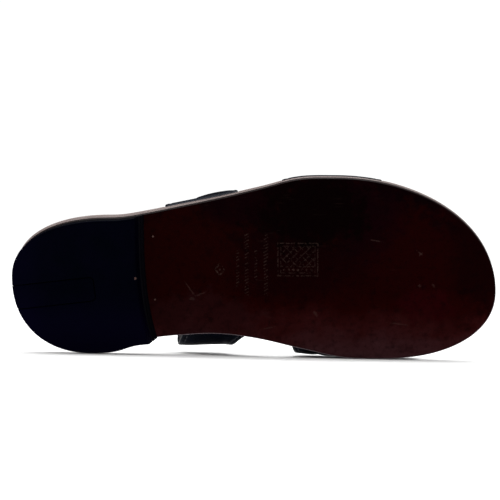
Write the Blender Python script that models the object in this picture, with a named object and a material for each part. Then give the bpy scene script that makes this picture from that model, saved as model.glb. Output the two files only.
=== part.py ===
"""A man's two-band leather slide for the right foot, lying on its inner side.

Every piece is worked out in the shoe's own frame, in millimetres: X runs from the back of the heel to the
toe, Y from the outer side to the inner (big toe) side, Z up from the ground that the sole stands on.
An empty then lays the whole shoe on its inner side, resting on the sole's edge and the forefoot band.
"""

import math

import bmesh
import bpy
import numpy as np
from mathutils import Matrix

MM = 0.001

# ---- driving sizes, in millimetres ----
LENGTH = 286.0
LIFT = 6.0  # black rubber lift under the heel
HEEL_LAYER = 6.0  # leather layer between the lift and the outsole
OUTSOLE = 3.8
MIDSOLE_HEEL = 8.5
MIDSOLE_BALL = 5.2
FOOTBED = 4.0
BAND_WALL = 2.6
TOE_SPRING = 5.0
GAP = 0.3  # between pieces that meet

HEEL_HEIGHT = LIFT + HEEL_LAYER
SEAT_END = 84.0  # the outsole is level behind this station
BALL_START = 168.0  # and lies on the ground between these two
SPRING_START = 232.0

# ---- the sole's outline: distances from the long axis to each side ----
HEEL_TIP = 2.4  # the backmost and foremost points lie this far to the inner side of the axis
TOE_TIP = 12.0
OUTER_SIDE = (  # along, distance
    (58, 31.4),
    (82, 34.8),
    (100, 38.8),
    (122, 44.3),
    (146, 51.0),
    (168, 57.0),
    (190, 57.8),
)
INNER_SIDE = (  # along, distance
    (46, 47.2),
    (60, 46.2),
    (71, 42.9),
    (84, 41.4),
    (97, 39.9),
    (122, 38.0),
    (146, 40.0),
    (170, 45.2),
    (196, 50.8),
    (218, 51.5),
)
OUTER_HEEL_POWER = 2.26  # fullness of the round ends: 2 is an ellipse
INNER_HEEL_POWER = 2.2
OUTER_TOE_POWER = 2.03
INNER_TOE_POWER = 2.22

# ---- heel ----
BREAST_OUTER = 71.7  # front edge of the lift, at the ground, on the outer side
BREAST_ADVANCE = 7.6  # how much further forward it lies on the inner side
BREAST_SLOPE = 5.5  # and how much further forward the heel reaches where it meets the outsole
HEEL_FLARE = 1.2  # how far the lift's ground edge stands out past the sole's outline
TONGUE_LENGTH = 47.6  # wear tongue let into the lift
TONGUE_WIDTH = 14.0
TONGUE_BACK = 14.3  # its middle, towards the inner side, at the back edge and at its end
TONGUE_FRONT = 8.8
TONGUE_CORNER = 2.5
TONGUE_GAP = 0.5

# ---- the inside of the upper, above the footbed: a row for each station ----
LAST = (  # along, inner bulge, its height, crest to the inner side, its height, outer bulge, its height
    (84, 52.0, 24, 5, 67, 30.0, 15),
    (100, 52.6, 24, 5, 64, 32.0, 15),
    (120, 50.8, 23, 6, 60, 36.8, 14),
    (140, 50.4, 22, 7, 54, 41.6, 13),
    (165, 53.2, 22, 9, 48, 46.4, 11),
    (190, 55.0, 21, 11, 42, 48.4, 10),
    (215, 55.2, 19, 13, 37, 45.6, 9),
    (245, 50.4, 15, 15, 31, 38.0, 8),
)
ROUNDNESS = 0.58  # length of the curve handles between those points
OUTER_LEAN = 27.0  # degrees: on the outer side the bands lean in as soon as they leave the sole

# ---- bands: share of the way round from the inner side to the outer side, back edge, front edge ----
FOREFOOT_BAND = (
    (0.00, 162.4, 241.0),
    (0.12, 166.5, 242.5),
    (0.35, 177.0, 243.0),
    (0.55, 180.0, 239.0),
    (0.78, 172.0, 229.0),
    (1.00, 159.0, 218.0),
)
INSTEP_BAND = (
    (0.00, 105.7, 152.0),
    (0.12, 96.8, 132.3),
    (0.30, 94.4, 125.0),
    (0.50, 88.0, 122.5),
    (0.60, 94.0, 124.0),
    (0.68, 102.5, 126.5),
    (0.74, 105.7, 128.2),
    (0.84, 107.2, 130.2),
    (0.93, 107.6, 131.5),
)
SIDE_STRAP = (
    (0.79, 106.9, 129.1),
    (0.83, 104.8, 130.8),
    (0.90, 97.6, 132.4),
    (1.00, 89.4, 132.8),
)
# The instep band passes under the buckle's free bar, over its hinge, and then lies on the side strap.
BAND_RIDE = (  # distance from the hinge towards the free bar, height of the band's inside above the foot
    (-32, 3.3),
    (-13, 3.2),
    (-8, 4.2),
    (-3, 5.6),
    (0, 5.9),
    (3, 5.6),
    (8, 3.3),
    (12, 1.6),
    (16, 0.9),
    (24, 0.2),
    (32, 0.0),
)
RIDE_START = 0.55  # share of the way round where that begins
TIP_POINT = 6.0  # the free end of the instep band is rounded over this length

# ---- where a band goes down beside the footbed and turns under it ----
ROOT_INSET = 0.4  # its outside lies this far inside the sole's edge
STRAP_SWELL = 0.8  # beside the sole the side strap swells this far outwards
SWELL_START = 0.92  # share of the way round where that begins
TURN_UNDER = 10.0
TURN_WALL = 1.8
FOOTBED_INSET = ROOT_INSET + BAND_WALL + 0.55

# ---- buckle ----
BUCKLE_STATION = 118.0
HINGE_SHARE = 0.79
STRAP_START = 0.008  # the side strap's flat part starts this share past the hinge
BUCKLE_REACH = 17.0  # from the hinge bar to the free bar
BUCKLE_HALF_WIDTH = 14.8
BAR_RADIUS = 1.4
HINGE_RADIUS = 1.0
HINGE_HEIGHT = 2.3  # the hinge bar's middle, above the inside of the band
FREE_BAR_HEIGHT = 6.8
BORE_CLEARANCE = 0.4
ROLL_RADIUS = 2.4  # the side strap is rolled round the hinge bar
PRONG_RADIUS = 0.75
PRONG_RISE = ((0.3, 1.6), (0.5, 1.9), (0.75, 1.0), (1.0, 0.05), (1.12, -0.5))  # share of the reach, rise
PRONG_SLOT = 3.4  # width of the slot in the roll, and its reach past the hinge both ways
SLOT_REACH = (-3.2, 8.0)
HOLE_WIDTH = 2.8  # the hole in the band, and its reach from the hinge
HOLE_REACH = (0.6, 8.2)

# ---- how the shoe lies: turned until heel and ball touch, then leaned until the forefoot band does ----
LIE_TURN = 1.081
LIE_LEAN = 11.99
LIE_MOVE = (-142.515, -42.365, 46.5)

# ---- how finely the curves are cut ----
HEEL_STEPS, SIDE_STEPS, TOE_STEPS, SOLE_COLUMNS = 11, 20, 13, 8
HEEL_ROWS, HEEL_COLUMNS = 17, 6
SECTION_STEPS = 20
FOREFOOT_ROWS, FOREFOOT_COLUMNS = 39, 10
INSTEP_ROWS, INSTEP_COLUMNS, STRAP_ROWS = 42, 6, 14
TUBE_SIDES = 10

COLOURS = {  # base colour, roughness, metallic
    "rubber": ((0.006, 0.007, 0.012), 0.5, 0.0),
    "sole_leather": ((0.045, 0.008, 0.007), 0.35, 0.0),
    "edge_leather": ((0.21, 0.17, 0.16), 0.55, 0.0),
    "heel_leather": ((0.012, 0.009, 0.009), 0.45, 0.0),
    "footbed_leather": ((0.06, 0.035, 0.028), 0.6, 0.0),
    "band_leather": ((0.010, 0.012, 0.022), 0.4, 0.0),
    "metal": ((0.55, 0.55, 0.56), 0.3, 1.0),
}


# ---------------------------------------------------------------- curves and tables
def read(table, at, flat_ends=False):
    """The columns of a table at a station, on a smooth curve through its rows."""
    rows = np.array(table, float)
    slopes = np.gradient(rows[:, 1:], rows[:, 0], axis=0)
    if flat_ends:
        slopes[[0, -1]] = 0.0
    at = min(max(at, rows[0, 0]), rows[-1, 0])
    i = min(int(np.searchsorted(rows[:, 0], at, side="right")) - 1, len(rows) - 2)
    step = rows[i + 1, 0] - rows[i, 0]
    t = (at - rows[i, 0]) / step
    return (
        (2 * t**3 - 3 * t**2 + 1) * rows[i, 1:]
        + (t**3 - 2 * t**2 + t) * step * slopes[i]
        + (3 * t**2 - 2 * t**3) * rows[i + 1, 1:]
        + (t**3 - t**2) * step * slopes[i + 1]
    )


def round_end(u, power):
    """The rise of a round end, 0 at its tip (u = 1) and 1 where it meets the side (u = 0)."""
    return (1 - min(max(u, 0.0), 1.0) ** power) ** (1 / power)


def edge(side, x):
    """Signed distance of the sole's edge from the long axis: positive on the inner side."""
    if side == "inner":
        table, heel_power, toe_power, sign = INNER_SIDE, INNER_HEEL_POWER, INNER_TOE_POWER, 1
    else:
        table, heel_power, toe_power, sign = OUTER_SIDE, OUTER_HEEL_POWER, OUTER_TOE_POWER, -1
    first, last = table[0], table[-1]
    if x < first[0]:
        tip = sign * HEEL_TIP
        away = tip + (first[1] - tip) * round_end(1 - x / first[0], heel_power)
    elif x > last[0]:
        tip = sign * TOE_TIP
        away = tip + (last[1] - tip) * round_end((x - last[0]) / (LENGTH - last[0]), toe_power)
    else:
        away = read(table, x, flat_ends=True)[0]
    return sign * away


def stations(side):
    """Where the sole's rows meet one side: close together round the heel and the toe."""
    table = INNER_SIDE if side == "inner" else OUTER_SIDE
    start, end = table[0][0], table[-1][0]
    heel = [start * (1 - math.cos(math.pi / 2 * i / HEEL_STEPS)) for i in range(HEEL_STEPS)]
    middle = [start + (end - start) * i / SIDE_STEPS for i in range(SIDE_STEPS)]
    toe = [
        end + (LENGTH - end) * math.sin(math.pi / 2 * i / TOE_STEPS) for i in range(TOE_STEPS + 1)
    ]
    return heel + middle + toe


def smooth(t):
    """A soft step from 0 to 1 as t goes from 0 to 1."""
    t = min(max(t, 0.0), 1.0)
    return t * t * (3 - 2 * t)


def sole_height(x):
    """Height of the outsole's lower face above the ground."""
    fall = smooth((x - SEAT_END) / (BALL_START - SEAT_END))
    spring = max(0.0, (x - SPRING_START) / (LENGTH - SPRING_START))
    return HEEL_HEIGHT * (1 - fall) + TOE_SPRING * spring**2


def midsole_top(x):
    wedge = min(max((x - SEAT_END) / (BALL_START - SEAT_END), 0.0), 1.0)
    wall = MIDSOLE_HEEL + (MIDSOLE_BALL - MIDSOLE_HEEL) * wedge
    return sole_height(x) + OUTSOLE + GAP + wall


def footbed_top(x):
    return midsole_top(x) + GAP + FOOTBED


def inset(points, distance):
    """An open or closed run of plan points, moved to its right by a distance."""
    points = np.array(points, float)
    ahead, behind = np.roll(points, -1, axis=0), np.roll(points, 1, axis=0)
    if np.linalg.norm(points[0] - points[-1]) > 1e-9:
        ahead[-1], behind[0] = points[-1], points[0]
    else:
        ahead[-1], behind[0] = points[1], points[-2]
    along = ahead - behind
    along /= np.linalg.norm(along, axis=1)[:, None]
    return points + distance * np.stack([along[:, 1], -along[:, 0]], axis=1)


# ---------------------------------------------------------------- the inside of the upper
def handles(start, end, start_way, end_way, count):
    """Points on a curve from start to end that leaves and arrives along the two ways."""
    start, end = np.array(start, float), np.array(end, float)
    start_way, end_way = np.array(start_way, float), np.array(end_way, float)
    reach = np.abs(end - start)
    a = start + ROUNDNESS * start_way * (reach @ np.abs(start_way))
    b = end - ROUNDNESS * end_way * (reach @ np.abs(end_way))
    t = np.linspace(0, 1, count)[:, None]
    return (1 - t) ** 3 * start + 3 * t * (1 - t) ** 2 * a + 3 * t**2 * (1 - t) * b + t**3 * end


def section(x):
    """(Y, Z) round the inside of the upper at a station, from the inner side to the outer side."""
    inner, inner_up, crest, height, outer, outer_up = read(LAST, x)
    wall = ROOT_INSET + BAND_WALL
    up = (0, 1)
    down = (-math.sin(math.radians(OUTER_LEAN)), -math.cos(math.radians(OUTER_LEAN)))
    start = (edge("inner", x) - wall, 0)
    end = (edge("outer", x) + wall, 0)
    pieces = [
        handles(start, (inner, inner_up), up, up, SECTION_STEPS),
        handles((inner, inner_up), (crest, height), up, (-1, 0), SECTION_STEPS)[1:],
        handles((crest, height), (-outer, outer_up), (-1, 0), down, SECTION_STEPS)[1:],
        handles((-outer, outer_up), end, down, down, SECTION_STEPS)[1:],
    ]
    points = np.concatenate(pieces)
    points[:, 1] += footbed_top(x)
    return points


def inside(x, share):
    """The point on the inside of the upper at a station and a share of the way round."""
    points = section(x)
    run = np.concatenate([[0], np.cumsum(np.linalg.norm(np.diff(points, axis=0), axis=1))])
    at = share * run[-1]
    return np.array([x, np.interp(at, run, points[:, 0]), np.interp(at, run, points[:, 1])])


def girth(x):
    return float(np.linalg.norm(np.diff(section(x), axis=0), axis=1).sum())


def outward(x, share):
    """The direction straight out of the upper there."""
    low, high = max(share - 0.01, 0.0), min(share + 0.01, 1.0)
    round_way = inside(x, high) - inside(x, low)
    along_way = inside(x + 1, share) - inside(x - 1, share)
    way = np.cross(round_way, along_way)
    return way / np.linalg.norm(way)


# ---------------------------------------------------------------- meshes
def material(name):
    found = bpy.data.materials.get(name)
    if found is None:
        colour, roughness, metallic = COLOURS[name]
        found = bpy.data.materials.new(name)
        found.use_nodes = True
        shader = found.node_tree.nodes["Principled BSDF"]
        shader.inputs["Base Color"].default_value = (*colour, 1)
        shader.inputs["Roughness"].default_value = roughness
        shader.inputs["Metallic"].default_value = metallic
    return found


def add_object(name, points, faces, colour, smooth_angle=40):
    """An object from points in millimetres and faces, welded where points meet, its faces turned out."""
    mesh = bpy.data.meshes.new(name)
    mesh.from_pydata([tuple(MM * c for c in p) for p in points], [], faces)
    work = bmesh.new()
    work.from_mesh(mesh)
    bmesh.ops.remove_doubles(work, verts=work.verts, dist=1e-7)
    bmesh.ops.dissolve_degenerate(work, edges=work.edges, dist=1e-7)
    bmesh.ops.recalc_face_normals(work, faces=work.faces)
    work.to_mesh(mesh)
    work.free()
    mesh.shade_smooth()
    mesh.set_sharp_from_angle(angle=math.radians(smooth_angle))
    mesh.materials.append(material(colour))
    obj = bpy.data.objects.new(name, mesh)
    bpy.context.scene.collection.objects.link(obj)
    return obj


def solid_between(name, low, high, colour):
    """A closed solid between two grids of points that have the same rows and columns."""
    rows, columns = low.shape[:2]
    number = np.arange(rows * columns).reshape(rows, columns)
    other = number + rows * columns
    faces = []
    for i in range(rows - 1):
        for j in range(columns - 1):
            quad = [(i, j), (i + 1, j), (i + 1, j + 1), (i, j + 1)]
            faces.append([int(number[c]) for c in quad])
            faces.append([int(other[c]) for c in reversed(quad)])
    rim = (
        [(0, j) for j in range(columns)]
        + [(i, columns - 1) for i in range(1, rows)]
        + [(rows - 1, j) for j in range(columns - 2, -1, -1)]
        + [(i, 0) for i in range(rows - 2, 0, -1)]
    )
    for a, b in zip(rim, rim[1:] + rim[:1]):
        faces.append([int(number[a]), int(number[b]), int(other[b]), int(other[a])])
    points = np.concatenate([low.reshape(-1, 3), high.reshape(-1, 3)])
    return add_object(name, points, faces, colour)


def tube(name, path, radii, colour, closed=False):
    """A round bar along a path of points, with a radius at each."""
    path = np.array(path, float)
    count = len(path)
    points, faces = [], []
    side = None
    for i, centre in enumerate(path):
        ahead = path[(i + 1) % count] if closed or i + 1 < count else path[i]
        behind = path[i - 1] if closed or i else path[i]
        way = (ahead - behind) / np.linalg.norm(ahead - behind)
        guess = side if side is not None else np.cross(way, (0.3, 1.0, 0.2))
        side = guess - way * (guess @ way)
        side /= np.linalg.norm(side)
        up = np.cross(way, side)
        for k in range(TUBE_SIDES):
            turn = 2 * math.pi * k / TUBE_SIDES
            points.append(centre + radii[i] * (math.cos(turn) * side + math.sin(turn) * up))
    last = count if closed else count - 1
    for i in range(last):
        for k in range(TUBE_SIDES):
            a, b = i * TUBE_SIDES, (i + 1) % count * TUBE_SIDES
            k2 = (k + 1) % TUBE_SIDES
            faces.append([a + k, a + k2, b + k2, b + k])
    if not closed:
        faces.append(list(range(TUBE_SIDES)))
        faces.append([(count - 1) * TUBE_SIDES + k for k in range(TUBE_SIDES)])
    return add_object(name, points, faces, colour)


def boolean(obj, cutter, operation="DIFFERENCE"):
    modifier = obj.modifiers.new(cutter.name, "BOOLEAN")
    modifier.operation = operation
    modifier.object = cutter
    modifier.solver = "EXACT"
    cutter.hide_render = True
    cutter.display_type = "WIRE"


# ---------------------------------------------------------------- sole
def sole_sides(distance):
    """The sole's outer and inner sides, from heel to toe, moved in from the outline by a distance."""
    outer = [(x, edge("outer", x)) for x in stations("outer")]
    inner = [(x, edge("inner", x)) for x in stations("inner")]
    ring = inset(outer + inner[-2::-1], -distance)
    return ring[: len(outer)], ring[len(outer) - 1 :][::-1]


def sole_grid(distance, height):
    """Rows of points across the sole, with a height for each station."""
    outer, inner = sole_sides(distance)
    grid = np.zeros((len(outer), SOLE_COLUMNS + 1, 3))
    for j in range(SOLE_COLUMNS + 1):
        share = j / SOLE_COLUMNS
        grid[:, j, :2] = (1 - share) * outer + share * inner
    grid[:, :, 2] = np.vectorize(height)(grid[:, :, 0])
    return grid


def make_outsole():
    low = sole_grid(0.0, sole_height)
    high = sole_grid(0.0, lambda x: sole_height(x) + OUTSOLE)
    return solid_between("outsole", low, high, "sole_leather")


def make_midsole():
    low = sole_grid(0.0, lambda x: sole_height(x) + OUTSOLE + GAP)
    high = sole_grid(0.0, midsole_top)
    midsole = solid_between("midsole", low, high, "edge_leather")
    for name, side, band in (
        ("forefoot_inner", "inner", FOREFOOT_BAND[0]),
        ("forefoot_outer", "outer", FOREFOOT_BAND[-1]),
        ("instep_inner", "inner", INSTEP_BAND[0]),
        ("instep_outer", "outer", SIDE_STRAP[-1]),
    ):
        boolean(midsole, pocket(name, side, band[1] - GAP, band[2] + GAP))
    return midsole


def pocket(name, side, back, front):
    """Cutter for the shallow rebate in the midsole's top that takes a band's turned-in end."""
    sign = 1 if side == "inner" else -1
    steps = 8
    low, high = np.zeros((steps + 1, 2, 3)), np.zeros((steps + 1, 2, 3))
    for i in range(steps + 1):
        x = back + (front - back) * i / steps
        rim = edge(side, x)
        depth = ROOT_INSET + BAND_WALL + TURN_UNDER + GAP
        low[i, :, 0] = high[i, :, 0] = x
        low[i, :, 1] = high[i, :, 1] = (rim - sign * depth, rim + sign * 3.0)
        low[i, :, 2] = midsole_top(x) - TURN_WALL - GAP
        high[i, :, 2] = midsole_top(x) + 2.0
    return solid_between("cut_" + name, low, high, "edge_leather")


def make_footbed():
    low = sole_grid(FOOTBED_INSET, lambda x: midsole_top(x) + GAP)
    high = sole_grid(FOOTBED_INSET, footbed_top)
    return solid_between("footbed", low, high, "footbed_leather")


# ---------------------------------------------------------------- heel
def breast(share, height):
    """Station of the heel's front face at a share of the way to the inner side and a height."""
    return BREAST_OUTER + BREAST_ADVANCE * share**3 + BREAST_SLOPE * height / HEEL_HEIGHT


def heel_grid(height):
    """Rows of points across the heel at a height, its sides flared a little towards the ground."""
    flare = HEEL_FLARE * (1 - height / HEEL_HEIGHT)
    turns = [1 - math.cos(math.pi / 2 * i / HEEL_ROWS) for i in range(HEEL_ROWS + 1)]
    outer = [(x, edge("outer", x)) for x in (breast(0, height) * t for t in turns)]
    inner = [(x, edge("inner", x)) for x in (breast(1, height) * t for t in turns)]
    ring = inset(inner[::-1] + outer[1:], flare)
    inner, outer = ring[: len(inner)][::-1], ring[len(inner) - 1 :]
    grid = np.zeros((HEEL_ROWS + 1, HEEL_COLUMNS + 1, 3))
    for j in range(HEEL_COLUMNS + 1):
        share = j / HEEL_COLUMNS
        grid[:, j, :2] = (1 - share) * outer + share * inner
        bend = breast(share, height) - (1 - share) * breast(0, height) - share * breast(1, height)
        grid[:, j, 0] += bend * np.array(turns) ** 4
    grid[:, :, 2] = height
    return grid


def tongue_prism(name, grow):
    """The wear tongue's outline, drawn up through the lift and out past the back of the heel."""
    start = np.array([-6.0, TONGUE_BACK + 0.6])
    end = np.array([TONGUE_LENGTH, TONGUE_FRONT])
    way = (end - start) / np.linalg.norm(end - start)
    side = np.array([-way[1], way[0]])
    half, corner = TONGUE_WIDTH / 2 + grow, TONGUE_CORNER + grow
    end = end + way * grow
    outline = [start - side * half]
    for centre_side, first in ((-1, -90), (1, 0)):
        centre = end - way * corner + side * centre_side * (half - corner)
        for k in range(5):
            turn = math.radians(first + 90 * k / 4)
            outline.append(centre + corner * (math.cos(turn) * way + math.sin(turn) * side))
    outline.append(start + side * half)
    count = len(outline)
    points = [(*p, -1.0) for p in outline] + [(*p, LIFT + 1.0) for p in outline]
    faces = [list(range(count)), list(range(count, 2 * count))]
    faces += [[i, (i + 1) % count, (i + 1) % count + count, i + count] for i in range(count)]
    return add_object(name, points, faces, "rubber")


def make_heel():
    lift = solid_between("heel_lift", heel_grid(0.0), heel_grid(LIFT - GAP), "rubber")
    whole_lift = solid_between("guide_lift", heel_grid(0.0), heel_grid(LIFT - GAP), "rubber")
    tongue = tongue_prism("heel_tongue", 0.0)
    boolean(tongue, whole_lift, "INTERSECT")
    boolean(lift, tongue_prism("cut_tongue", TONGUE_GAP))
    layer = solid_between("heel_layer", heel_grid(LIFT), heel_grid(HEEL_HEIGHT - GAP), "heel_leather")
    return [lift, tongue, layer]


# ---------------------------------------------------------------- bands
def root_rows(side, x, swell):
    """Inside and outside points of a band's turned-in end, from under the footbed up to its top."""
    sign = 1 if side == "inner" else -1
    rim, top = edge(side, x), midsole_top(x)
    wall = ROOT_INSET + BAND_WALL
    profile = (  # inside: depth from the edge, height; outside: depth, height
        (wall + TURN_UNDER, 0.0, wall + TURN_UNDER, -TURN_WALL),
        (wall + 4.0, 0.0, wall + 4.0, -TURN_WALL),
        (wall + 0.4, 0.0, wall - 0.4, -TURN_WALL),
        (wall - swell / 2, 0.5, ROOT_INSET + 0.4 - swell / 2, -0.6),
        (wall - swell, GAP + FOOTBED / 2, ROOT_INSET - swell, GAP + FOOTBED / 2),
    )
    return [
        (
            np.array([x, rim - sign * in_depth, top + in_up]),
            np.array([x, rim - sign * out_depth, top + out_up]),
        )
        for in_depth, in_up, out_depth, out_up in profile
    ]


def band_grids(edges, shares, columns, ride=lambda share, point: 0.0, tip=0.0, swell=0.0):
    """Inside and outside grids of a band round the upper, with a turned-in end at share 0 or 1."""
    low, high = [], []
    first, last = shares[0], shares[-1]
    for share in shares:
        back, front = read(edges, share)
        row_low, row_high = [], []
        for j in range(columns + 1):
            across = j / columns
            x = back + (front - back) * across
            at = share
            if tip and share > last - tip:  # the free end is rounded
                bow = 1 - math.sqrt(max(0.0, 1 - (2 * across - 1) ** 2))
                at = share - tip * bow * (share - last + tip) / tip
            point, way = inside(x, at), outward(x, at)
            lift = ride(share, point)
            row_low.append(point + way * lift)
            row_high.append(point + way * (lift + BAND_WALL))
        low.append(row_low)
        high.append(row_high)
    for share, side in ((0.0, "inner"), (1.0, "outer")):
        if share not in (first, last):
            continue
        back, front = read(edges, share)
        columns_of_rows = [
            root_rows(side, back + (front - back) * j / columns, swell) for j in range(columns + 1)
        ]
        rows = [[column[k] for column in columns_of_rows] for k in range(len(columns_of_rows[0]))]
        root_low = [[pair[0] for pair in row] for row in rows]
        root_high = [[pair[1] for pair in row] for row in rows]
        if share == first:
            low, high = root_low + low, root_high + high
        else:
            low, high = low + root_low[::-1], high + root_high[::-1]
    return np.array(low), np.array(high)


def make_forefoot_band():
    shares = list(np.linspace(0, 1, FOREFOOT_ROWS))
    grids = band_grids(FOREFOOT_BAND, shares, FOREFOOT_COLUMNS)
    return solid_between("forefoot_band", *grids, "band_leather")


def make_instep_band():
    hinge, across, up, out = buckle_frame_axes()

    def ride(share, point):
        return read(BAND_RIDE, (point - hinge) @ up)[0] if share > RIDE_START else 0.0

    last = INSTEP_BAND[-1][0]
    shares = list(np.linspace(0, last, INSTEP_ROWS))
    tip = TIP_POINT / girth(BUCKLE_STATION)
    grids = band_grids(INSTEP_BAND, shares, INSTEP_COLUMNS, ride, tip)
    band = solid_between("instep_band", *grids, "band_leather")
    boolean(band, prong_hole())
    return band


def buckle_frame_axes():
    """The buckle's place: its hinge bar's middle, and its ways across, towards the free bar, and out."""
    hinge = bar_middle(SIDE_STRAP, HINGE_SHARE, HINGE_HEIGHT)
    free_share = HINGE_SHARE - BUCKLE_REACH / girth(hinge[0])
    up = bar_middle(INSTEP_BAND, free_share, FREE_BAR_HEIGHT) - hinge
    up /= np.linalg.norm(up)
    across = np.cross(up, outward(hinge[0], HINGE_SHARE))
    across /= np.linalg.norm(across)
    return hinge, across, up, np.cross(across, up)


def bar_middle(edges, share, height):
    """The middle of a buckle bar that lies at a height above a band's middle."""
    middle = read(edges, share).mean()
    return inside(middle, share) + outward(middle, share) * height


def make_side_strap():
    def swell(share, point):
        return STRAP_SWELL * smooth((share - SWELL_START) / (1 - SWELL_START))

    shares = list(np.linspace(HINGE_SHARE + STRAP_START, 1.0, STRAP_ROWS))
    grids = band_grids(SIDE_STRAP, shares, INSTEP_COLUMNS, swell, swell=STRAP_SWELL)
    strap = solid_between("side_strap", *grids, "band_leather")
    hinge, across, up, out = buckle_frame_axes()
    back, front = read(SIDE_STRAP, HINGE_SHARE)
    half = (front - back) / 2
    ends = [hinge - across * half, hinge + across * half]
    roll = tube("guide_roll", ends, [ROLL_RADIUS] * 2, "band_leather")
    boolean(strap, roll, "UNION")
    ends = [hinge - across * (half + 3), hinge + across * (half + 3)]
    bore = tube("cut_bore", ends, [HINGE_RADIUS + BORE_CLEARANCE] * 2, "band_leather")
    boolean(strap, bore)
    slot = block("cut_slot", hinge, across, up, out, PRONG_SLOT / 2, SLOT_REACH, (-6.0, 6.0))
    boolean(strap, slot)
    return strap


def block(name, centre, across, up, out, half, reach, depth):
    """A box cutter in the buckle's own directions."""
    points = [
        centre + across * a + up * u + out * o for a in (-half, half) for u in reach for o in depth
    ]
    faces = [[0, 1, 3, 2], [4, 6, 7, 5], [0, 4, 5, 1], [2, 3, 7, 6], [0, 2, 6, 4], [1, 5, 7, 3]]
    return add_object(name, points, faces, "band_leather")


def prong_hole():
    hinge, across, up, out = buckle_frame_axes()
    return block("cut_hole", hinge, across, up, out, HOLE_WIDTH / 2, HOLE_REACH, (-4.0, 12.0))


def make_buckle():
    hinge, across, up, out = buckle_frame_axes()
    corner, half, reach = 3.0, BUCKLE_HALF_WIDTH, BUCKLE_REACH
    path, radii = [], []
    for way, turn_from in (((1, 1), 0), ((-1, 1), 90), ((-1, -1), 180), ((1, -1), 270)):
        middle = across * way[0] * (half - corner)
        middle = middle + up * (reach / 2 + way[1] * (reach / 2 - corner))
        for k in range(5):
            turn = math.radians(turn_from + 90 * k / 4)
            path.append(hinge + middle + corner * (math.cos(turn) * across + math.sin(turn) * up))
            at_hinge = (turn_from == 180 and k >= 3) or (turn_from == 270 and k <= 1)
            radii.append(HINGE_RADIUS if at_hinge else BAR_RADIUS)
    frame = tube("buckle_frame", path, radii, "metal", closed=True)
    hook = HINGE_RADIUS + 0.25 + PRONG_RADIUS
    prong_path = [
        hinge + hook * (math.cos(math.radians(t)) * up + math.sin(math.radians(t)) * out)
        for t in range(-200, 61, 20)
    ]
    over = BAR_RADIUS + GAP + PRONG_RADIUS
    for share, rise in PRONG_RISE:
        prong_path.append(hinge + up * reach * share + out * (over + rise))
    prong = tube("buckle_prong", prong_path, [PRONG_RADIUS] * len(prong_path), "metal")
    return [frame, prong]


# ---------------------------------------------------------------- the whole shoe
def lay_on_side(pieces):
    """Parents the pieces to an empty that turns the shoe on to its inner side."""
    rest = bpy.data.objects.new("lying_shoe", None)
    bpy.context.scene.collection.objects.link(rest)
    turn = Matrix.Rotation(math.radians(-LIE_TURN), 4, "Z")
    lean = Matrix.Rotation(math.radians(LIE_LEAN - 90), 4, "X")
    rest.matrix_world = Matrix.Translation([MM * c for c in LIE_MOVE]) @ lean @ turn
    for piece in pieces:
        piece.parent = rest


def main():
    for obj in list(bpy.data.objects):
        bpy.data.objects.remove(obj)
    make_outsole()
    make_midsole()
    make_footbed()
    make_heel()
    make_forefoot_band()
    make_instep_band()
    make_side_strap()
    make_buckle()
    lay_on_side(list(bpy.data.objects))


main()
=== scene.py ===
"""A man's two-band leather slide lying on its inner side: its surfaces, stitching, camera and light.

Shapes are worked out in the shoe's own frame, in millimetres: X runs from the back of the heel to the toe,
Y from the outer side to the inner (big toe) side, Z up from the ground that the sole stands on. to_world lays
them on the shoe's inner side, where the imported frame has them.
"""

import math

import bmesh
import bpy
import numpy as np
from mathutils import Matrix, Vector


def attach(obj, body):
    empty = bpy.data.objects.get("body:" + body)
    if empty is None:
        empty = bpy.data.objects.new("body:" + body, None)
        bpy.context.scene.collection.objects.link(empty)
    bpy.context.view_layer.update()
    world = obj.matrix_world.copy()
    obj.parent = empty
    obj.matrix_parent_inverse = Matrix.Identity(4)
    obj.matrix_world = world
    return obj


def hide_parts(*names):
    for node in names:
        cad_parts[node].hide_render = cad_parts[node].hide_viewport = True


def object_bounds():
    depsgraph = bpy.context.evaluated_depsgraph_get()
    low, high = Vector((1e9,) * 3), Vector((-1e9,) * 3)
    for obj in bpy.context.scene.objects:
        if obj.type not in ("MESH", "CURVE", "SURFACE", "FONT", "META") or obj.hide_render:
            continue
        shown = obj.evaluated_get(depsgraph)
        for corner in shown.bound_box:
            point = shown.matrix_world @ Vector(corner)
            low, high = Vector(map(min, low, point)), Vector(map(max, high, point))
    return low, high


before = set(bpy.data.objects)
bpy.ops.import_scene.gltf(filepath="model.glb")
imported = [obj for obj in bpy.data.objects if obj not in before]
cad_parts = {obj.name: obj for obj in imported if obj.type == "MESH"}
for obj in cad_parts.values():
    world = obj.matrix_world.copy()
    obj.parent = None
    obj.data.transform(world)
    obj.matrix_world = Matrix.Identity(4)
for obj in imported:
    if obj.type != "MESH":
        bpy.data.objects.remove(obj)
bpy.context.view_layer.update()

MM = 0.001

# ---- the shoe's sizes, in millimetres, as the solids have them ----
LENGTH = 286.0
LIFT = 6.0
HEEL_HEIGHT = 12.0
OUTSOLE = 3.8
MIDSOLE_HEEL = 8.5
MIDSOLE_BALL = 5.2
FOOTBED = 4.0
BAND_WALL = 2.6
TOE_SPRING = 5.0
GAP = 0.3
SEAT_END = 84.0
BALL_START = 168.0
SPRING_START = 232.0
HEEL_TIP = 2.4
TOE_TIP = 12.0
OUTER_SIDE = (  # along, distance from the long axis
    (58, 31.4),
    (82, 34.8),
    (100, 38.8),
    (122, 44.3),
    (146, 51.0),
    (168, 57.0),
    (190, 57.8),
)
INNER_SIDE = (  # along, distance
    (46, 47.2),
    (60, 46.2),
    (71, 42.9),
    (84, 41.4),
    (97, 39.9),
    (122, 38.0),
    (146, 40.0),
    (170, 45.2),
    (196, 50.8),
    (218, 51.5),
)
HEEL_POWERS = {"outer": 2.26, "inner": 2.2}  # how square the ends are: 2 is an ellipse
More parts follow.
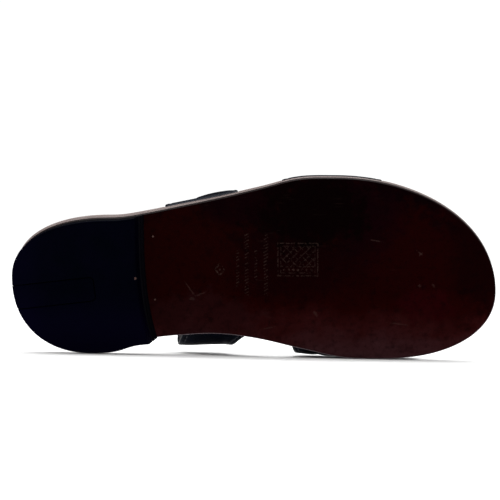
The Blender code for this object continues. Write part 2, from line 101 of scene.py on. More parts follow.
TOE_POWERS = {"outer": 2.03, "inner": 2.22}
BREAST_OUTER = 71.7
BREAST_ADVANCE = 7.6
BREAST_SLOPE = 5.5
HEEL_FLARE = 1.2
TONGUE_LENGTH = 47.6
TONGUE_WIDTH = 14.0
TONGUE_BACK = 14.3
TONGUE_FRONT = 8.8
TONGUE_CORNER = 2.5
TONGUE_GAP = 0.5
LAST = (  # along, inner bulge, its height, crest to the inner side, its height, outer bulge, its height
    (84, 52.0, 24, 5, 67, 30.0, 15),
    (100, 52.6, 24, 5, 64, 32.0, 15),
    (120, 50.8, 23, 6, 60, 36.8, 14),
    (140, 50.4, 22, 7, 54, 41.6, 13),
    (165, 53.2, 22, 9, 48, 46.4, 11),
    (190, 55.0, 21, 11, 42, 48.4, 10),
    (215, 55.2, 19, 13, 37, 45.6, 9),
    (245, 50.4, 15, 15, 31, 38.0, 8),
)
ROUNDNESS = 0.58
OUTER_LEAN = 27.0
FOREFOOT_BAND = (  # share of the way round from the inner side, back edge, front edge
    (0.00, 162.4, 241.0),
    (0.12, 166.5, 242.5),
    (0.35, 177.0, 243.0),
    (0.55, 180.0, 239.0),
    (0.78, 172.0, 229.0),
    (1.00, 159.0, 218.0),
)
INSTEP_BAND = (
    (0.00, 105.7, 152.0),
    (0.12, 96.8, 132.3),
    (0.30, 94.4, 125.0),
    (0.50, 88.0, 122.5),
    (0.60, 94.0, 124.0),
    (0.68, 102.5, 126.5),
    (0.74, 105.7, 128.2),
    (0.84, 107.2, 130.2),
    (0.93, 107.6, 131.5),
)
SIDE_STRAP = (
    (0.79, 106.9, 129.1),
    (0.83, 104.8, 130.8),
    (0.90, 97.6, 132.4),
    (1.00, 89.4, 132.8),
)
BAND_RIDE = (  # distance from the hinge towards the free bar, height of the band's inside above the foot
    (-32, 3.3),
    (-13, 3.2),
    (-8, 4.2),
    (-3, 5.6),
    (0, 5.9),
    (3, 5.6),
    (8, 3.3),
    (12, 1.6),
    (16, 0.9),
    (24, 0.2),
    (32, 0.0),
)
RIDE_START = 0.55
TIP_POINT = 6.0
ROOT_INSET = 0.4
STRAP_SWELL = 0.8
SWELL_START = 0.92
TURN_UNDER = 10.0  # a band's turned-in end reaches this far past its inside
TURN_WALL = 1.8  # and is this thick
BAND_DEPTH = ROOT_INSET + BAND_WALL  # a band's inside lies this far inside the sole's edge
FOOTBED_INSET = BAND_DEPTH + 0.55
BUCKLE_STATION = 118.0
HINGE_SHARE = 0.79
STRAP_START = 0.008
BUCKLE_REACH = 17.0
BUCKLE_HALF_WIDTH = 14.8
BUCKLE_CORNER = 3.0
BAR_RADIUS = 1.4
HINGE_RADIUS = 1.0
HINGE_HEIGHT = 2.3
FREE_BAR_HEIGHT = 6.8
BORE_CLEARANCE = 0.4
ROLL_RADIUS = 2.4
PRONG_RADIUS = 0.75
PRONG_RISE = ((0.3, 1.6), (0.5, 1.9), (0.75, 1.0), (1.0, 0.05), (1.12, -0.5))
PRONG_SLOT = 3.4
SLOT_REACH = (-3.2, 8.0)
HOLE_WIDTH = 2.8
HOLE_REACH = (0.6, 8.2)

# ---- how the shoe lies: turned until heel and ball touch, then leaned until the forefoot band does ----
LIE_TURN = 1.081
LIE_LEAN = 11.99
LIE_MOVE = (-142.515, -42.365, 46.5)

# ---- what only the surface has ----
CROWN = 0.25  # the sole's ground face is this much fuller in the middle than at its edge
EDGE_ROUND = 1.3  # rounding of a band's cut edges
STITCH_INSET = 3.4  # stitch rows lie this far from a band's edge
STITCH_HEIGHT = BAND_WALL - 0.2  # a stitch row's seat in its channel, above the band's inside
STITCH_PITCH, STITCH_LENGTH, THREAD_RADIUS = 3.1, 2.45, 0.33
EDGE_STEPS = EDGE_ROUND * (1 - np.cos(np.radians(np.linspace(0, 90, 6))))  # columns across a rounded edge
CHANNEL_DEPTH, CHANNEL_WIDTH = 0.34, 0.42
CHANNEL_COLUMNS = np.array([-1.4, -0.9, -0.55, -0.28, 0, 0.28, 0.55, 0.9, 1.5])  # across a stitch row
ROLL_ROW, EDGE_ROWS = 0.062, 0.070  # shares from the hinge to the row beside the roll and to the edge rows
TOOLING_DEPTH = 0.3
TOOLED_PANEL = (168.3, -9.0, 11.8, 9.8)  # middle and half sizes of the tooled square in the waist
TOOLED_ROWS = (  # station, from, to, half height of a row of slanted strokes across the waist
    (132.6, -14.5, 9.0, 0.85),
    (138.0, -24.0, 13.4, 1.25),
    (143.4, -14.0, 5.0, 0.85),
    (149.4, -24.0, 13.0, 1.25),
)
TOOLED_LOZENGE = (122.0, -1.5, 2.6, 3.6)
SOLE_STAINS = (  # station, from the axis, reach along, reach across, colour, strength
    (98, -6, 38, 34, (0.0068, 0.0003, 0.0001), 0.75),
    (238, -8, 30, 30, (0.0070, 0.0001, 0.0001), 0.70),
    (168, -4, 34, 22, (0.0026, 0.0, 0.0003), 0.55),
    (280, -14, 20, 40, (0.0026, 0.0, 0.0001), 0.85),
    (246, 19, 16, 10, (0.0130, 0.0002, 0.0010), 0.55),
    (112, 28, 34, 14, (0.0120, 0.0028, 0.0032), 0.60),
    (134, -42, 24, 12, (0.0018, 0.0, 0.0005), 0.70),
    (206, -34, 20, 24, (0.0024, 0.0, 0.0007), 0.65),
    (177, -38, 32, 21, (0.0001, 0.0, 0.0), 0.97),
)
SOLE_SCUFFS = (  # station, from the axis, reach along, reach across, turn in degrees
    (104.2, 11.1, 4.7, 0.45, 55),
    (110.4, 14.0, 2.9, 0.45, -25),
    (105.5, 17.0, 1.6, 1.0, 10),
    (178.8, 23.8, 1.7, 0.9, 60),
    (240.3, -13.0, 1.9, 0.45, 40),
    (241.0, -12.4, 1.5, 0.45, -50),
    (240.3, 6.9, 1.3, 0.8, 20),
    (248.6, 6.9, 1.2, 0.8, 70),
    (214.0, -20.5, 3.4, 0.4, 12),
    (150.0, 33.0, 4.2, 0.4, -14),
    (228.0, 30.0, 5.0, 0.4, 8),
)
SOLE_BRADS = ((82.3, -20.5), (83.2, 17.9))
LIFT_BRADS = ((72.0, 2.4), (31.5, 9.6), (41.0, 13.2))
FOOT_PRINT = (  # station, from the axis, reach along, reach across, depth of the foot's print
    (40, 6, 27, 20, 0.7),
    (195, 22, 24, 17, 0.55),
    (186, -14, 26, 22, 0.45),
    (120, -20, 40, 12, 0.25),
    (251, 27, 12, 10, 0.6),
    (258, 9, 8, 6.5, 0.45),
    (253, -6, 8, 6.5, 0.45),
    (244, -20, 8, 6.5, 0.42),
    (231, -33, 8, 6.5, 0.4),
)
PUNCHED_HOLES = (-18.5, -10.0, 27.5, 37.0)  # distances from the hinge along the instep band
HOLE_RADIUS = 1.35
CREASE_GIRTH = 190.0  # the way round the upper that a crease's share of 1 stands for
FOREFOOT_CREASES = (  # from station, share, to station, share, depth, half width
    (186, 0.24, 195, 0.47, 0.85, 2.4),
    (188, 0.50, 183, 0.70, 0.70, 2.2),
    (199, 0.30, 204, 0.52, 0.60, 2.6),
    (203, 0.54, 196, 0.76, 0.55, 2.3),
    (214, 0.34, 215, 0.58, 0.42, 3.0),
    (176, 0.10, 190, 0.20, 0.60, 2.2),
    (170, 0.86, 184, 0.78, 0.60, 2.2),
    (228, 0.13, 222, 0.24, 0.38, 2.5),
)
INSTEP_CREASES = (
    (97, 0.22, 106, 0.40, 0.55, 2.1),
    (112, 0.16, 119, 0.34, 0.48, 2.2),
    (104, 0.46, 113, 0.58, 0.42, 1.9),
    (127, 0.06, 122, 0.16, 0.42, 1.9),
)


# ---------------------------------------------------------------- curves and tables
def read(table, at, flat_ends=False):
    """The columns of a table at one or many stations, on a smooth curve through its rows."""
    rows = np.array(table, float)
    slopes = np.gradient(rows[:, 1:], rows[:, 0], axis=0)
    if flat_ends:
        slopes[[0, -1]] = 0.0
    at = np.clip(np.asarray(at, float), rows[0, 0], rows[-1, 0])
    i = np.clip(np.searchsorted(rows[:, 0], at, side="right") - 1, 0, len(rows) - 2)
    step = (rows[i + 1, 0] - rows[i, 0])[..., None]
    t = (at - rows[i, 0])[..., None] / step
    return (
        (2 * t**3 - 3 * t**2 + 1) * rows[i, 1:]
        + (t**3 - 2 * t**2 + t) * step * slopes[i]
        + (3 * t**2 - 2 * t**3) * rows[i + 1, 1:]
        + (t**3 - t**2) * step * slopes[i + 1]
    )


def smooth(t):
    t = np.clip(t, 0.0, 1.0)
    return t * t * (3 - 2 * t)


def round_end(u, power):
    """A quarter of a superellipse, from 1 at 0 round to 0 at 1."""
    return (1 - np.clip(u, 0.0, 1.0) ** power) ** (1 / power)


def edge(side, x):
    """Signed distance of the sole's edge from the long axis: positive on the inner side."""
    table, sign = (INNER_SIDE, 1) if side == "inner" else (OUTER_SIDE, -1)
    x = np.asarray(x, float)
    first, last = table[0], table[-1]
    heel_tip, toe_tip = sign * HEEL_TIP, sign * TOE_TIP
    heel = heel_tip + (first[1] - heel_tip) * round_end(1 - x / first[0], HEEL_POWERS[side])
    forward = (x - last[0]) / (LENGTH - last[0])
    toe = toe_tip + (last[1] - toe_tip) * round_end(forward, TOE_POWERS[side])
    middle = read(table, x, flat_ends=True)[..., 0]
    return sign * np.where(x < first[0], heel, np.where(x > last[0], toe, middle))


def sole_height(x):
    """Height of the outsole's lower face above the ground."""
    x = np.asarray(x, float)
    step = HEEL_HEIGHT * (1 - smooth((x - SEAT_END) / (BALL_START - SEAT_END)))
    return step + TOE_SPRING * np.maximum(0, (x - SPRING_START) / (LENGTH - SPRING_START)) ** 2


def midsole_base(x):
    return sole_height(x) + OUTSOLE + GAP


def midsole_top(x):
    wedge = np.clip((np.asarray(x, float) - SEAT_END) / (BALL_START - SEAT_END), 0, 1)
    return midsole_base(x) + MIDSOLE_HEEL + (MIDSOLE_BALL - MIDSOLE_HEEL) * wedge


def footbed_top(x):
    return midsole_top(x) + GAP + FOOTBED


def unit(v):
    return v / np.linalg.norm(v, axis=-1, keepdims=True)


def run_length(points):
    """How far each point lies along the line through all of them."""
    return np.append(0, np.cumsum(np.linalg.norm(np.diff(points, axis=0), axis=1)))


def inset(run, distance):
    """An open or closed run of plan points, moved to its left by a distance."""
    first, last = run[0], run[-1]
    if np.linalg.norm(first - last) < 1e-9:
        first, last = run[-2], run[1]
    ahead, behind = np.vstack([run[1:], last]), np.vstack([first, run[:-1]])
    along = unit(ahead - behind)
    return run + distance * np.stack([-along[:, 1], along[:, 0]], axis=1)


# ---------------------------------------------------------------- the inside of the upper
def handles(start, end, start_way, end_way, count):
    """Points on a round curve that leaves its start one way and comes to its end another."""
    start, end, start_way, end_way = (np.array(v, float) for v in (start, end, start_way, end_way))
    reach = np.abs(end - start)
    a = start + ROUNDNESS * start_way * (reach @ np.abs(start_way))
    b = end - ROUNDNESS * end_way * (reach @ np.abs(end_way))
    t = np.linspace(0, 1, count)[:, None]
    return (1 - t) ** 3 * start + 3 * t * (1 - t) ** 2 * a + 3 * t**2 * (1 - t) * b + t**3 * end


def section(x):
    """(Y, Z) round the inside of the upper at a station, from the inner side to the outer side."""
    inner, inner_up, crest, height, outer, outer_up = read(LAST, x)
    up = (0, 1)
    down = (-math.sin(math.radians(OUTER_LEAN)), -math.cos(math.radians(OUTER_LEAN)))
    start = (float(edge("inner", x)) - BAND_DEPTH, 0)
    end = (float(edge("outer", x)) + BAND_DEPTH, 0)
    knots = (
        (start, up),
        ((inner, inner_up), up),
        ((crest, height), (-1, 0)),
        ((-outer, outer_up), down),
        (end, down),
    )
    runs = [handles(a, b, from_way, to_way, 40) for (a, from_way), (b, to_way) in zip(knots, knots[1:])]
    points = np.concatenate([runs[0], *(run[1:] for run in runs[1:])])
    points[:, 1] += float(footbed_top(x))
    return points


class Upper:
    """The inside of the upper as a table over stations and shares of the way round, read smoothly."""

    stations = np.arange(84.0, 250.5, 1.0)
    shares = np.linspace(0, 1, 301)

    def __init__(self):
        rows, self.girths = [], []
        for x in self.stations:
            points = section(x)
            run = run_length(points)
            self.girths.append(run[-1])
            at = self.shares * run[-1]
            y, z = np.interp(at, run, points[:, 0]), np.interp(at, run, points[:, 1])
            rows.append(np.stack([np.full_like(y, x), y, z], axis=1))
        self.points = np.array(rows)
        round_way = np.gradient(self.points, axis=1)
        along_way = np.gradient(self.points, axis=0)
        self.normals = unit(np.cross(round_way, along_way))

    def girth(self, x):
        return float(np.interp(x, self.stations, self.girths))

    def look_up(self, table, x, share):
        i = np.clip(x - self.stations[0], 0, len(self.stations) - 1.001)
        j = np.clip(share * (len(self.shares) - 1), 0, len(self.shares) - 1.001)
        i0, j0 = i.astype(int), j.astype(int)
        u, v = (i - i0)[..., None], (j - j0)[..., None]
        near = table[i0, j0] * (1 - v) + table[i0, j0 + 1] * v
        far = table[i0 + 1, j0] * (1 - v) + table[i0 + 1, j0 + 1] * v
        return near * (1 - u) + far * u

    def at(self, x, share):
        x, share = np.broadcast_arrays(np.asarray(x, float), np.asarray(share, float))
        return self.look_up(self.points, x, share), unit(self.look_up(self.normals, x, share))


UPPER = Upper()


# ---------------------------------------------------------------- meshes
LIE = (
    Matrix.Translation([MM * c for c in LIE_MOVE])
    @ Matrix.Rotation(math.radians(LIE_LEAN - 90), 4, "X")
    @ Matrix.Rotation(math.radians(-LIE_TURN), 4, "Z")
    @ Matrix.Scale(MM, 4)
)
TO_WORLD = np.array(LIE)


def new_object(name, data=None):
    """An object linked into the scene."""
    obj = bpy.data.objects.new(name, data)
    bpy.context.scene.collection.objects.link(obj)
    return obj


def to_world(points):
    return np.asarray(points, float) @ TO_WORLD[:3, :3].T + TO_WORLD[:3, 3]


def shade(mesh, sharp=40):
    """Smooth shading, except at edges that bend by more than an angle in degrees."""
    mesh.shade_smooth()
    mesh.set_sharp_from_angle(angle=math.radians(sharp))


def add_object(name, points, faces, materials, slots=None, marks=None, sharp=40):
    """A mesh from points in the shoe's frame, welded where points meet, with its faces turned out."""
    mesh = bpy.data.meshes.new(name)
    mesh.from_pydata(to_world(points).tolist(), [], faces)
    if slots is not None:
        mesh.polygons.foreach_set("material_index", np.asarray(slots, np.int32))
    if marks is not None:
        mesh.attributes.new("mark", "FLOAT", "POINT").data.foreach_set("value", marks)
    work = bmesh.new()
    work.from_mesh(mesh)
    bmesh.ops.remove_doubles(work, verts=work.verts, dist=2e-7)
    bmesh.ops.dissolve_degenerate(work, edges=work.edges, dist=1e-7)
    bmesh.ops.recalc_face_normals(work, faces=work.faces)
    work.to_mesh(mesh)
    work.free()
    shade(mesh, sharp)
    for material in materials:
        mesh.materials.append(material)
    return new_object(name, mesh)


def apply_modifiers(obj):
    """Replaces an object's mesh with what its modifiers make of it."""
    seen = obj.evaluated_get(bpy.context.evaluated_depsgraph_get())
    mesh = bpy.data.meshes.new_from_object(seen)
    obj.modifiers.clear()
    obj.data = mesh
    shade(mesh)


def carve(obj, cutters, operation="DIFFERENCE"):
    """Cuts, joins or intersects an object with others, which are then removed."""
    for cutter in cutters:
        modifier = obj.modifiers.new(cutter.name, "BOOLEAN")
        modifier.operation = operation
        modifier.object = cutter
        modifier.solver = "EXACT"
    apply_modifiers(obj)
    for cutter in cutters:
        bpy.data.objects.remove(cutter)


def soften(obj):
    """Takes the hard edges off a carved object."""
    modifier = obj.modifiers.new("soften", "BEVEL")
    modifier.width = 0.22 * MM
    modifier.segments = 2
    modifier.limit_method = "ANGLE"
    modifier.angle_limit = math.radians(35)
    apply_modifiers(obj)


def grid_faces(rows, columns, start=0, flip=False):
    number = start + np.arange(rows * columns).reshape(rows, columns)
    quads = np.stack([number[:-1, :-1], number[1:, :-1], number[1:, 1:], number[:-1, 1:]], axis=-1)
    quads = quads.reshape(-1, 4)
    return (quads[:, ::-1] if flip else quads).tolist()


def ring_faces(number, capped=True):
    """Quads between neighbouring closed rings of point numbers, and a face over each end."""
    a, b = number[..., :-1, :], number[..., 1:, :]
    quads = np.stack([a, np.roll(a, -1, axis=-1), np.roll(b, -1, axis=-1), b], axis=-1)
    faces = quads.reshape(-1, 4).tolist()
    if capped:
        for end in (0, -1):
            faces += number[..., end, :].reshape(-1, number.shape[-1]).tolist()
    return faces


def prism(low, high):
    """Points and faces of a closed prism between two rings of as many points."""
    number = np.arange(2 * len(low)).reshape(2, -1)
    return np.concatenate([low, high]), number.tolist() + ring_faces(number, capped=False)


def tubes(paths, ups, radii, sides, flat=1.0, closed=False):
    """Points and faces of round bars along paths (bar, point, xyz); flat squeezes them along ups."""
    paths, ups = np.asarray(paths, float), np.asarray(ups, float)
    if closed:
        way = unit(np.roll(paths, -1, axis=1) - np.roll(paths, 1, axis=1))
    else:
        way = unit(np.gradient(paths, axis=1))
    side = unit(np.cross(way, np.broadcast_to(ups, paths.shape)))
    up = np.cross(side, way)
    turn = 2 * np.pi * np.arange(sides) / sides
    radii = np.broadcast_to(radii, paths.shape[:2])[..., None, None]
    across = np.cos(turn)[:, None] * side[:, :, None] + flat * np.sin(turn)[:, None] * up[:, :, None]
    points = (paths[:, :, None] + radii * across).reshape(-1, 3)
    bars, count = paths.shape[:2]
    number = np.arange(bars * count * sides).reshape(bars, count, sides)
    if closed:
        number = np.concatenate([number, number[:, :1]], axis=1)
    return points, ring_faces(number, capped=not closed)


def dome(centre, radius, rise):
    """Points and faces of a brad's low round head, which stands out downwards."""
    way = np.array((0.0, 0.0, -1.0))
    side = unit(np.cross(way, (0.3, 1.0, 0.2)))
    up = np.cross(way, side)
    rings = ((1.0, -0.6), (1.0, 0.0), (0.93, 0.45), (0.7, 0.8), (0.35, 0.96))
    sides = 20
    turn = 2 * np.pi * np.arange(sides) / sides
    circle = np.cos(turn)[:, None] * side + np.sin(turn)[:, None] * up
    points = [centre + radius * r * circle + rise * h * way for r, h in rings]
    return np.concatenate(points), ring_faces(np.arange(len(rings) * sides).reshape(-1, sides))


def join(parts):
    """Several (points, faces) as one."""
    points, faces, start = [], [], 0
    for some_points, some_faces in parts:
        points.append(some_points)
        faces += [[start + k for k in face] for face in some_faces]
        start += len(some_points)
    return np.concatenate(points), faces


# ---------------------------------------------------------------- materials
AXES = new_object("shoe_axes")
AXES.matrix_world = LIE
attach(AXES, "root")


def put(tree, socket, value):
    """Links a socket to another one, or gives it a number or a colour."""
    if isinstance(value, bpy.types.NodeSocket):
        tree.links.new(value, socket)
    elif isinstance(value, tuple) and len(value) == 3 and socket.type == "RGBA":
        socket.default_value = (*value, 1)
    else:
        socket.default_value = value


def add_node(tree, kind, inputs, **settings):
    made = tree.nodes.new("ShaderNode" + kind)
    for key, value in settings.items():
        setattr(made, key, value)
    for key, value in inputs.items():
        put(tree, made.inputs[key], value)
    return made


def map_range(tree, value, low, high, out_low, out_high):
    """A smooth step of a value from low to high, as numbers from out_low to out_high."""
    keys = ("Value", "From Min", "From Max", "To Min", "To Max")
    inputs = dict(zip(keys, (value, low, high, out_low, out_high)))
    return add_node(tree, "MapRange", inputs, interpolation_type="SMOOTHSTEP").outputs["Result"]


class Surface:
    """A Principled material whose nodes read the shoe's own frame in millimetres."""

    def __init__(self, name, **sockets):
        self.material = bpy.data.materials.new(name)
        self.material.use_nodes = True
        self.tree = self.material.node_tree
        self.shader = self.tree.nodes["Principled BSDF"]
        for socket, value in sockets.items():
            put(self.tree, self.shader.inputs[socket.replace("_", " ")], value)
        self.place = self.node("TexCoord", object=AXES).outputs["Object"]

    def node(self, kind, inputs=None, **settings):
        return add_node(self.tree, kind, inputs or {}, **settings)

    def stretch(self, x, y, z):
        return self.node("Mapping", {"Vector": self.place, "Scale": (x, y, z)}).outputs["Vector"]

    def noise(self, size, detail=3.0, roughness=0.55, place=None):
        """Noise from 0 to 1 whose features are about a size in millimetres."""
        inputs = {"Vector": place or self.place, "Scale": 1 / size, "Detail": detail, "Roughness": roughness}
        return self.node("TexNoise", inputs).outputs["Fac"]

    def cells(self, size, feature="SMOOTH_F1", place=None):
        """Distance within cells of about a size in millimetres, from their middles or from their edges."""
        inputs = {"Vector": place or self.place, "Scale": 1 / size}
        if feature == "SMOOTH_F1":
            inputs["Smoothness"] = 0.6
        return self.node("TexVoronoi", inputs, feature=feature).outputs["Distance"]

    def sum(self, *terms):
        """a1 * b1 + a2 * b2 + ... for pairs of sockets or numbers."""
        total = 0.0
        for a, b in terms:
            maths = {0: a, 1: b, 2: total}
            total = self.node("Math", maths, operation="MULTIPLY_ADD").outputs[0]
        return total

    def levels(self, value, low, high, out_low=0.0, out_high=1.0):
        return map_range(self.tree, value, low, high, out_low, out_high)

    def ramp(self, value, *stops):
        """A colour for a value, by (value, colour) stops in rising order."""
        made = self.node("ValToRGB", {"Fac": value})
        elements = made.color_ramp.elements
        elements[0].position, elements[1].position = stops[0][0], stops[-1][0]
        for at, colour in stops[1:-1]:
            elements.new(at)
        for element, (at, colour) in zip(elements, stops):
            element.color = (*colour, 1)
        return made.outputs["Color"]

    def mix(self, share, a, b):
        made = self.node("Mix", data_type="RGBA")
        for socket, value in ((0, share), (6, a), (7, b)):
            put(self.tree, made.inputs[socket], value)
        return made.outputs[2]

    def cover(self, tone, share, strength, colour):
        """A tone with a colour over it, as strongly as a share from 0 to 1 times a strength."""
        return self.mix(self.sum((share, strength)), tone, colour)

    def spot(self, x, y, along, across, ragged, turn=0.0):
        """A stain on the sole: 1 inside, falling to 0 over an edge that a noise makes ragged."""
        place = {"Vector": self.place, "Location": (x, y, 0), "Scale": (along, across, 1e6)}
        place["Rotation"] = (0, 0, math.radians(turn))
        place = self.node("Mapping", place, vector_type="TEXTURE").outputs["Vector"]
        away = self.node("VectorMath", {0: place}, operation="LENGTH").outputs["Value"]
        return self.levels(self.sum((away, 1.0), (ragged, 2.6)), 2.6, 1.95)

    def axis(self, name):
        return self.node("SeparateXYZ", {"Vector": self.place}).outputs[name]

    def mark(self):
        return self.node("Attribute", attribute_name="mark").outputs["Fac"]

    def finish(self, colour, roughness, *bumps):
        """Sets the colour and roughness, and lays bumps of (height, millimetres) over each other."""
        inputs = {}
        for height, distance in bumps:
            inputs |= {"Height": height, "Distance": distance * MM, "Strength": 1.0}
            inputs["Normal"] = self.node("Bump", inputs).outputs["Normal"]
        sockets = {"Base Color": colour, "Roughness": roughness, "Normal": inputs["Normal"]}
        for socket, value in sockets.items():
            put(self.tree, self.shader.inputs[socket], value)
        return self.material


def polished_sole():
    """Oxblood sole leather with a painted reflection of the floor: near black towards the outer side, rosier
    and duller towards the inner side.
    """
    s = Surface("sole_polish", Specular_IOR_Level=0.012, Specular_Tint=(1.0, 0.3, 0.35))
    # painted reflection: the tone across the sole, from near black to rosy brown, stands in for the floor's
    # reflection in the polish
    across = s.sum((s.axis("Y"), 1 / 112), (s.noise(34, detail=4, roughness=0.6), 0.34), (0.33, 1.0))
    tone = s.ramp(
        across,
        (0.05, (0.0008, 0.0, 0.0003)),
        (0.40, (0.0028, 0.0, 0.0001)),
        (0.57, (0.0046, 0.0, 0.0)),
        (0.68, (0.0086, 0.0003, 0.0002)),
        (0.80, (0.0190, 0.0032, 0.0034)),
        (0.92, (0.0320, 0.0108, 0.0124)),
    )
    patches = s.levels(s.noise(8, detail=5, roughness=0.7), 0.45, 0.7)
    tone = s.cover(tone, patches, 0.4, (0.0090, 0.0003, 0.0))
    ragged = s.noise(11, detail=6, roughness=0.72)
    for *place, colour, strength in SOLE_STAINS:
        tone = s.cover(tone, s.spot(*place, ragged), strength, colour)
    soot = s.levels(s.noise(6, detail=5, roughness=0.65), 0.5, 0.72)
    tone = s.cover(tone, soot, 0.5, (0.0006, 0.0, 0.0002))
    grime = s.levels(s.noise(3.2, detail=4, roughness=0.7), 0.5, 0.66)
    tone = s.cover(tone, grime, 0.3, (0.0012, 0.0002, 0.0002))
    streaks = s.noise(1.0, detail=2, place=s.stretch(0.05, 0.9, 0.9))
    scuffs = s.levels(s.sum((streaks, 0.6), (s.noise(17, detail=3), 0.5)), 0.66, 0.78)
    tone = s.cover(tone, scuffs, 0.06, (0.05, 0.028, 0.024))
    ragged = s.noise(1.1, detail=2)
    for *place, turn in SOLE_SCUFFS:
        tone = s.cover(tone, s.spot(*place, ragged, turn), 0.22, (0.050, 0.028, 0.024))
    worn = s.levels(s.noise(1.7, detail=2), 0.38, 0.62)
    tone = s.cover(tone, s.sum((s.mark(), worn)), 0.42, (0.050, 0.030, 0.025))
    shine = s.sum((s.noise(6, detail=4), 0.22), (s.mark(), 0.25), (scuffs, 0.15), (0.22, 1.0))
    fibres = s.noise(0.5, detail=3)
    return s.finish(tone, shine, (s.noise(9, detail=2), 0.10), (streaks, 0.02), (fibres, 0.02))


def sole_edge():
    """The outsole's edge paint, with a painted highlight: a pale line along the inner side's lower corner,
    where the rounded edge catches the light.
    """
    s = Surface("sole_edge_paint", Specular_IOR_Level=0.05)
    lines = s.noise(1.0, detail=3, place=s.stretch(0.03, 0.03, 1.6))
    tone = s.ramp(lines, (0.3, (0.0030, 0.0008, 0.0010)), (0.8, (0.010, 0.0036, 0.0036)))
    # painted highlight: the marked rings on the inner side are lightened to a pale line, as the light would
    # catch them
    tone = s.cover(tone, s.mark(), s.levels(s.axis("Y"), 12, 26), (0.24, 0.18, 0.20))
    return s.finish(tone, s.sum((lines, 0.2), (0.24, 1.0)), (lines, 0.06))


def layered_edge():
    """The trimmed and waxed edge of the midsole's leather layers, with painted shade: darker below and in the
    grooves.
    """
    s = Surface("layered_edge", Specular_IOR_Level=0.25)
    fibres = s.noise(1.0, detail=4, roughness=0.65, place=s.stretch(0.05, 0.05, 1.9))
    blots = s.noise(14, detail=4)
    tone = s.ramp(
        s.sum((fibres, 0.65), (blots, 0.4)),
        (0.32, (0.146, 0.108, 0.100)),
        (0.52, (0.228, 0.178, 0.168)),
        (0.75, (0.342, 0.280, 0.268)),
    )
    # painted shade: the marked grooves and lower layers are darkened as if less light reached them
    tone = s.mix(s.mark(), tone, (0.034, 0.021, 0.018))
    return s.finish(tone, s.sum((fibres, 0.2), (0.34, 1.0)), (fibres, 0.10))


def stacked_heel():
    s = Surface("heel_stack", Specular_IOR_Level=0.02)
    fibres = s.noise(1.0, detail=4, place=s.stretch(0.04, 0.04, 1.7))
    tone = s.ramp(fibres, (0.3, (0.0003, 0.0003, 0.0010)), (0.8, (0.0016, 0.0012, 0.0024)))
    return s.finish(tone, s.sum((fibres, 0.2), (0.32, 1.0)), (fibres, 0.10))


def rubber():
    s = Surface("heel_rubber", Specular_IOR_Level=0.01, Specular_Tint=(0.4, 0.6, 1.0))
    cloud = s.noise(16, detail=4)
    tone = s.ramp(cloud, (0.3, (0.0, 0.0001, 0.0010)), (0.75, (0.0004, 0.0002, 0.0022)))
    # painted highlight: the tone grows lighter and bluer towards the inner side and the back of the heel, as
    # if the rounded lower edge caught the light
    rim = s.sum((s.levels(s.axis("Y"), 8, 34), 0.8), (s.levels(s.axis("X"), 22, 4), 0.5))
    tone = s.mix(rim, tone, (0.0008, 0.0003, 0.0042))
    dust = s.levels(s.noise(0.9, detail=3), 0.62, 0.8)
    tone = s.cover(tone, dust, 0.04, (0.02, 0.02, 0.026))
    return s.finish(tone, s.sum((cloud, 0.25), (0.33, 1.0)), (s.noise(0.7, detail=4), 0.045), (cloud, 0.1))


def band_leather():
    """Smooth navy-black calf with a fine pebble grain, polished where it bends outwards."""
    s = Surface("band_calf", Specular_IOR_Level=0.07, Specular_Tint=(0.6, 0.8, 1.0))
    cloud = s.noise(22, detail=4)
    tone = s.ramp(cloud, (0.3, (0.0007, 0.0010, 0.0040)), (0.75, (0.0022, 0.0028, 0.0086)))
    grain = s.cells(1.15, place=s.stretch(1.0, 1.15, 1.0))
    wrinkle = s.levels(s.cells(4.0, "DISTANCE_TO_EDGE"), 0.0, 0.12)
    tone = s.mix(s.levels(grain, 0.45, 0.9, 0.0, 0.5), tone, (0.0006, 0.0008, 0.0030))
    shine = s.sum((s.noise(8, detail=3), 0.16), (grain, 0.12), (0.20, 1.0))
    return s.finish(tone, shine, (wrinkle, 0.035), (grain, -0.09), (s.noise(0.35, detail=2), 0.015))


def edge_paint():
    s = Surface("band_edge_paint", Specular_IOR_Level=0.06, Specular_Tint=(0.6, 0.8, 1.0))
    streaks = s.noise(2.5, detail=3)
    tone = s.ramp(streaks, (0.3, (0.0008, 0.0010, 0.0030)), (0.8, (0.0026, 0.0030, 0.0064)))
    return s.finish(tone, s.sum((streaks, 0.2), (0.24, 1.0)), (s.noise(0.6, detail=3), 0.04))


def lining():
    s = Surface("lining_leather", Specular_IOR_Level=0.2)
    cloud = s.noise(12, detail=5)
    tone = s.ramp(cloud, (0.3, (0.012, 0.010, 0.012)), (0.75, (0.026, 0.021, 0.022)))
    pores = s.cells(0.8)
    return s.finish(tone, s.sum((cloud, 0.2), (0.48, 1.0)), (pores, -0.05), (s.noise(0.3, detail=2), 0.02))


def footbed_leather():
    """Brown footbed leather, darkened and polished where the foot has pressed it."""
    s = Surface("footbed_calf", Specular_IOR_Level=0.32)
    cloud = s.noise(18, detail=5)
    tone = s.ramp(cloud, (0.3, (0.046, 0.026, 0.019)), (0.75, (0.082, 0.050, 0.036)))
    pressed = s.levels(s.mark(), 0.05, 0.75)
    tone = s.cover(tone, pressed, 0.6, (0.022, 0.0125, 0.0095))
    shine = s.sum((pressed, -0.16), (s.noise(5, detail=3), 0.14), (0.46, 1.0))
    pores = s.cells(0.95)
    return s.finish(tone, shine, (pores, -0.05), (s.noise(0.35, detail=2), 0.018))


def thread(name, colour):
    s = Surface(name, Specular_IOR_Level=0.3)
    twist = s.noise(0.32, detail=1)
    tone = s.mix(twist, tuple(0.6 * c for c in colour), tuple(1.4 * c for c in colour))
    return s.finish(tone, s.sum((twist, 0.2), (0.45, 1.0)), (twist, 0.12))


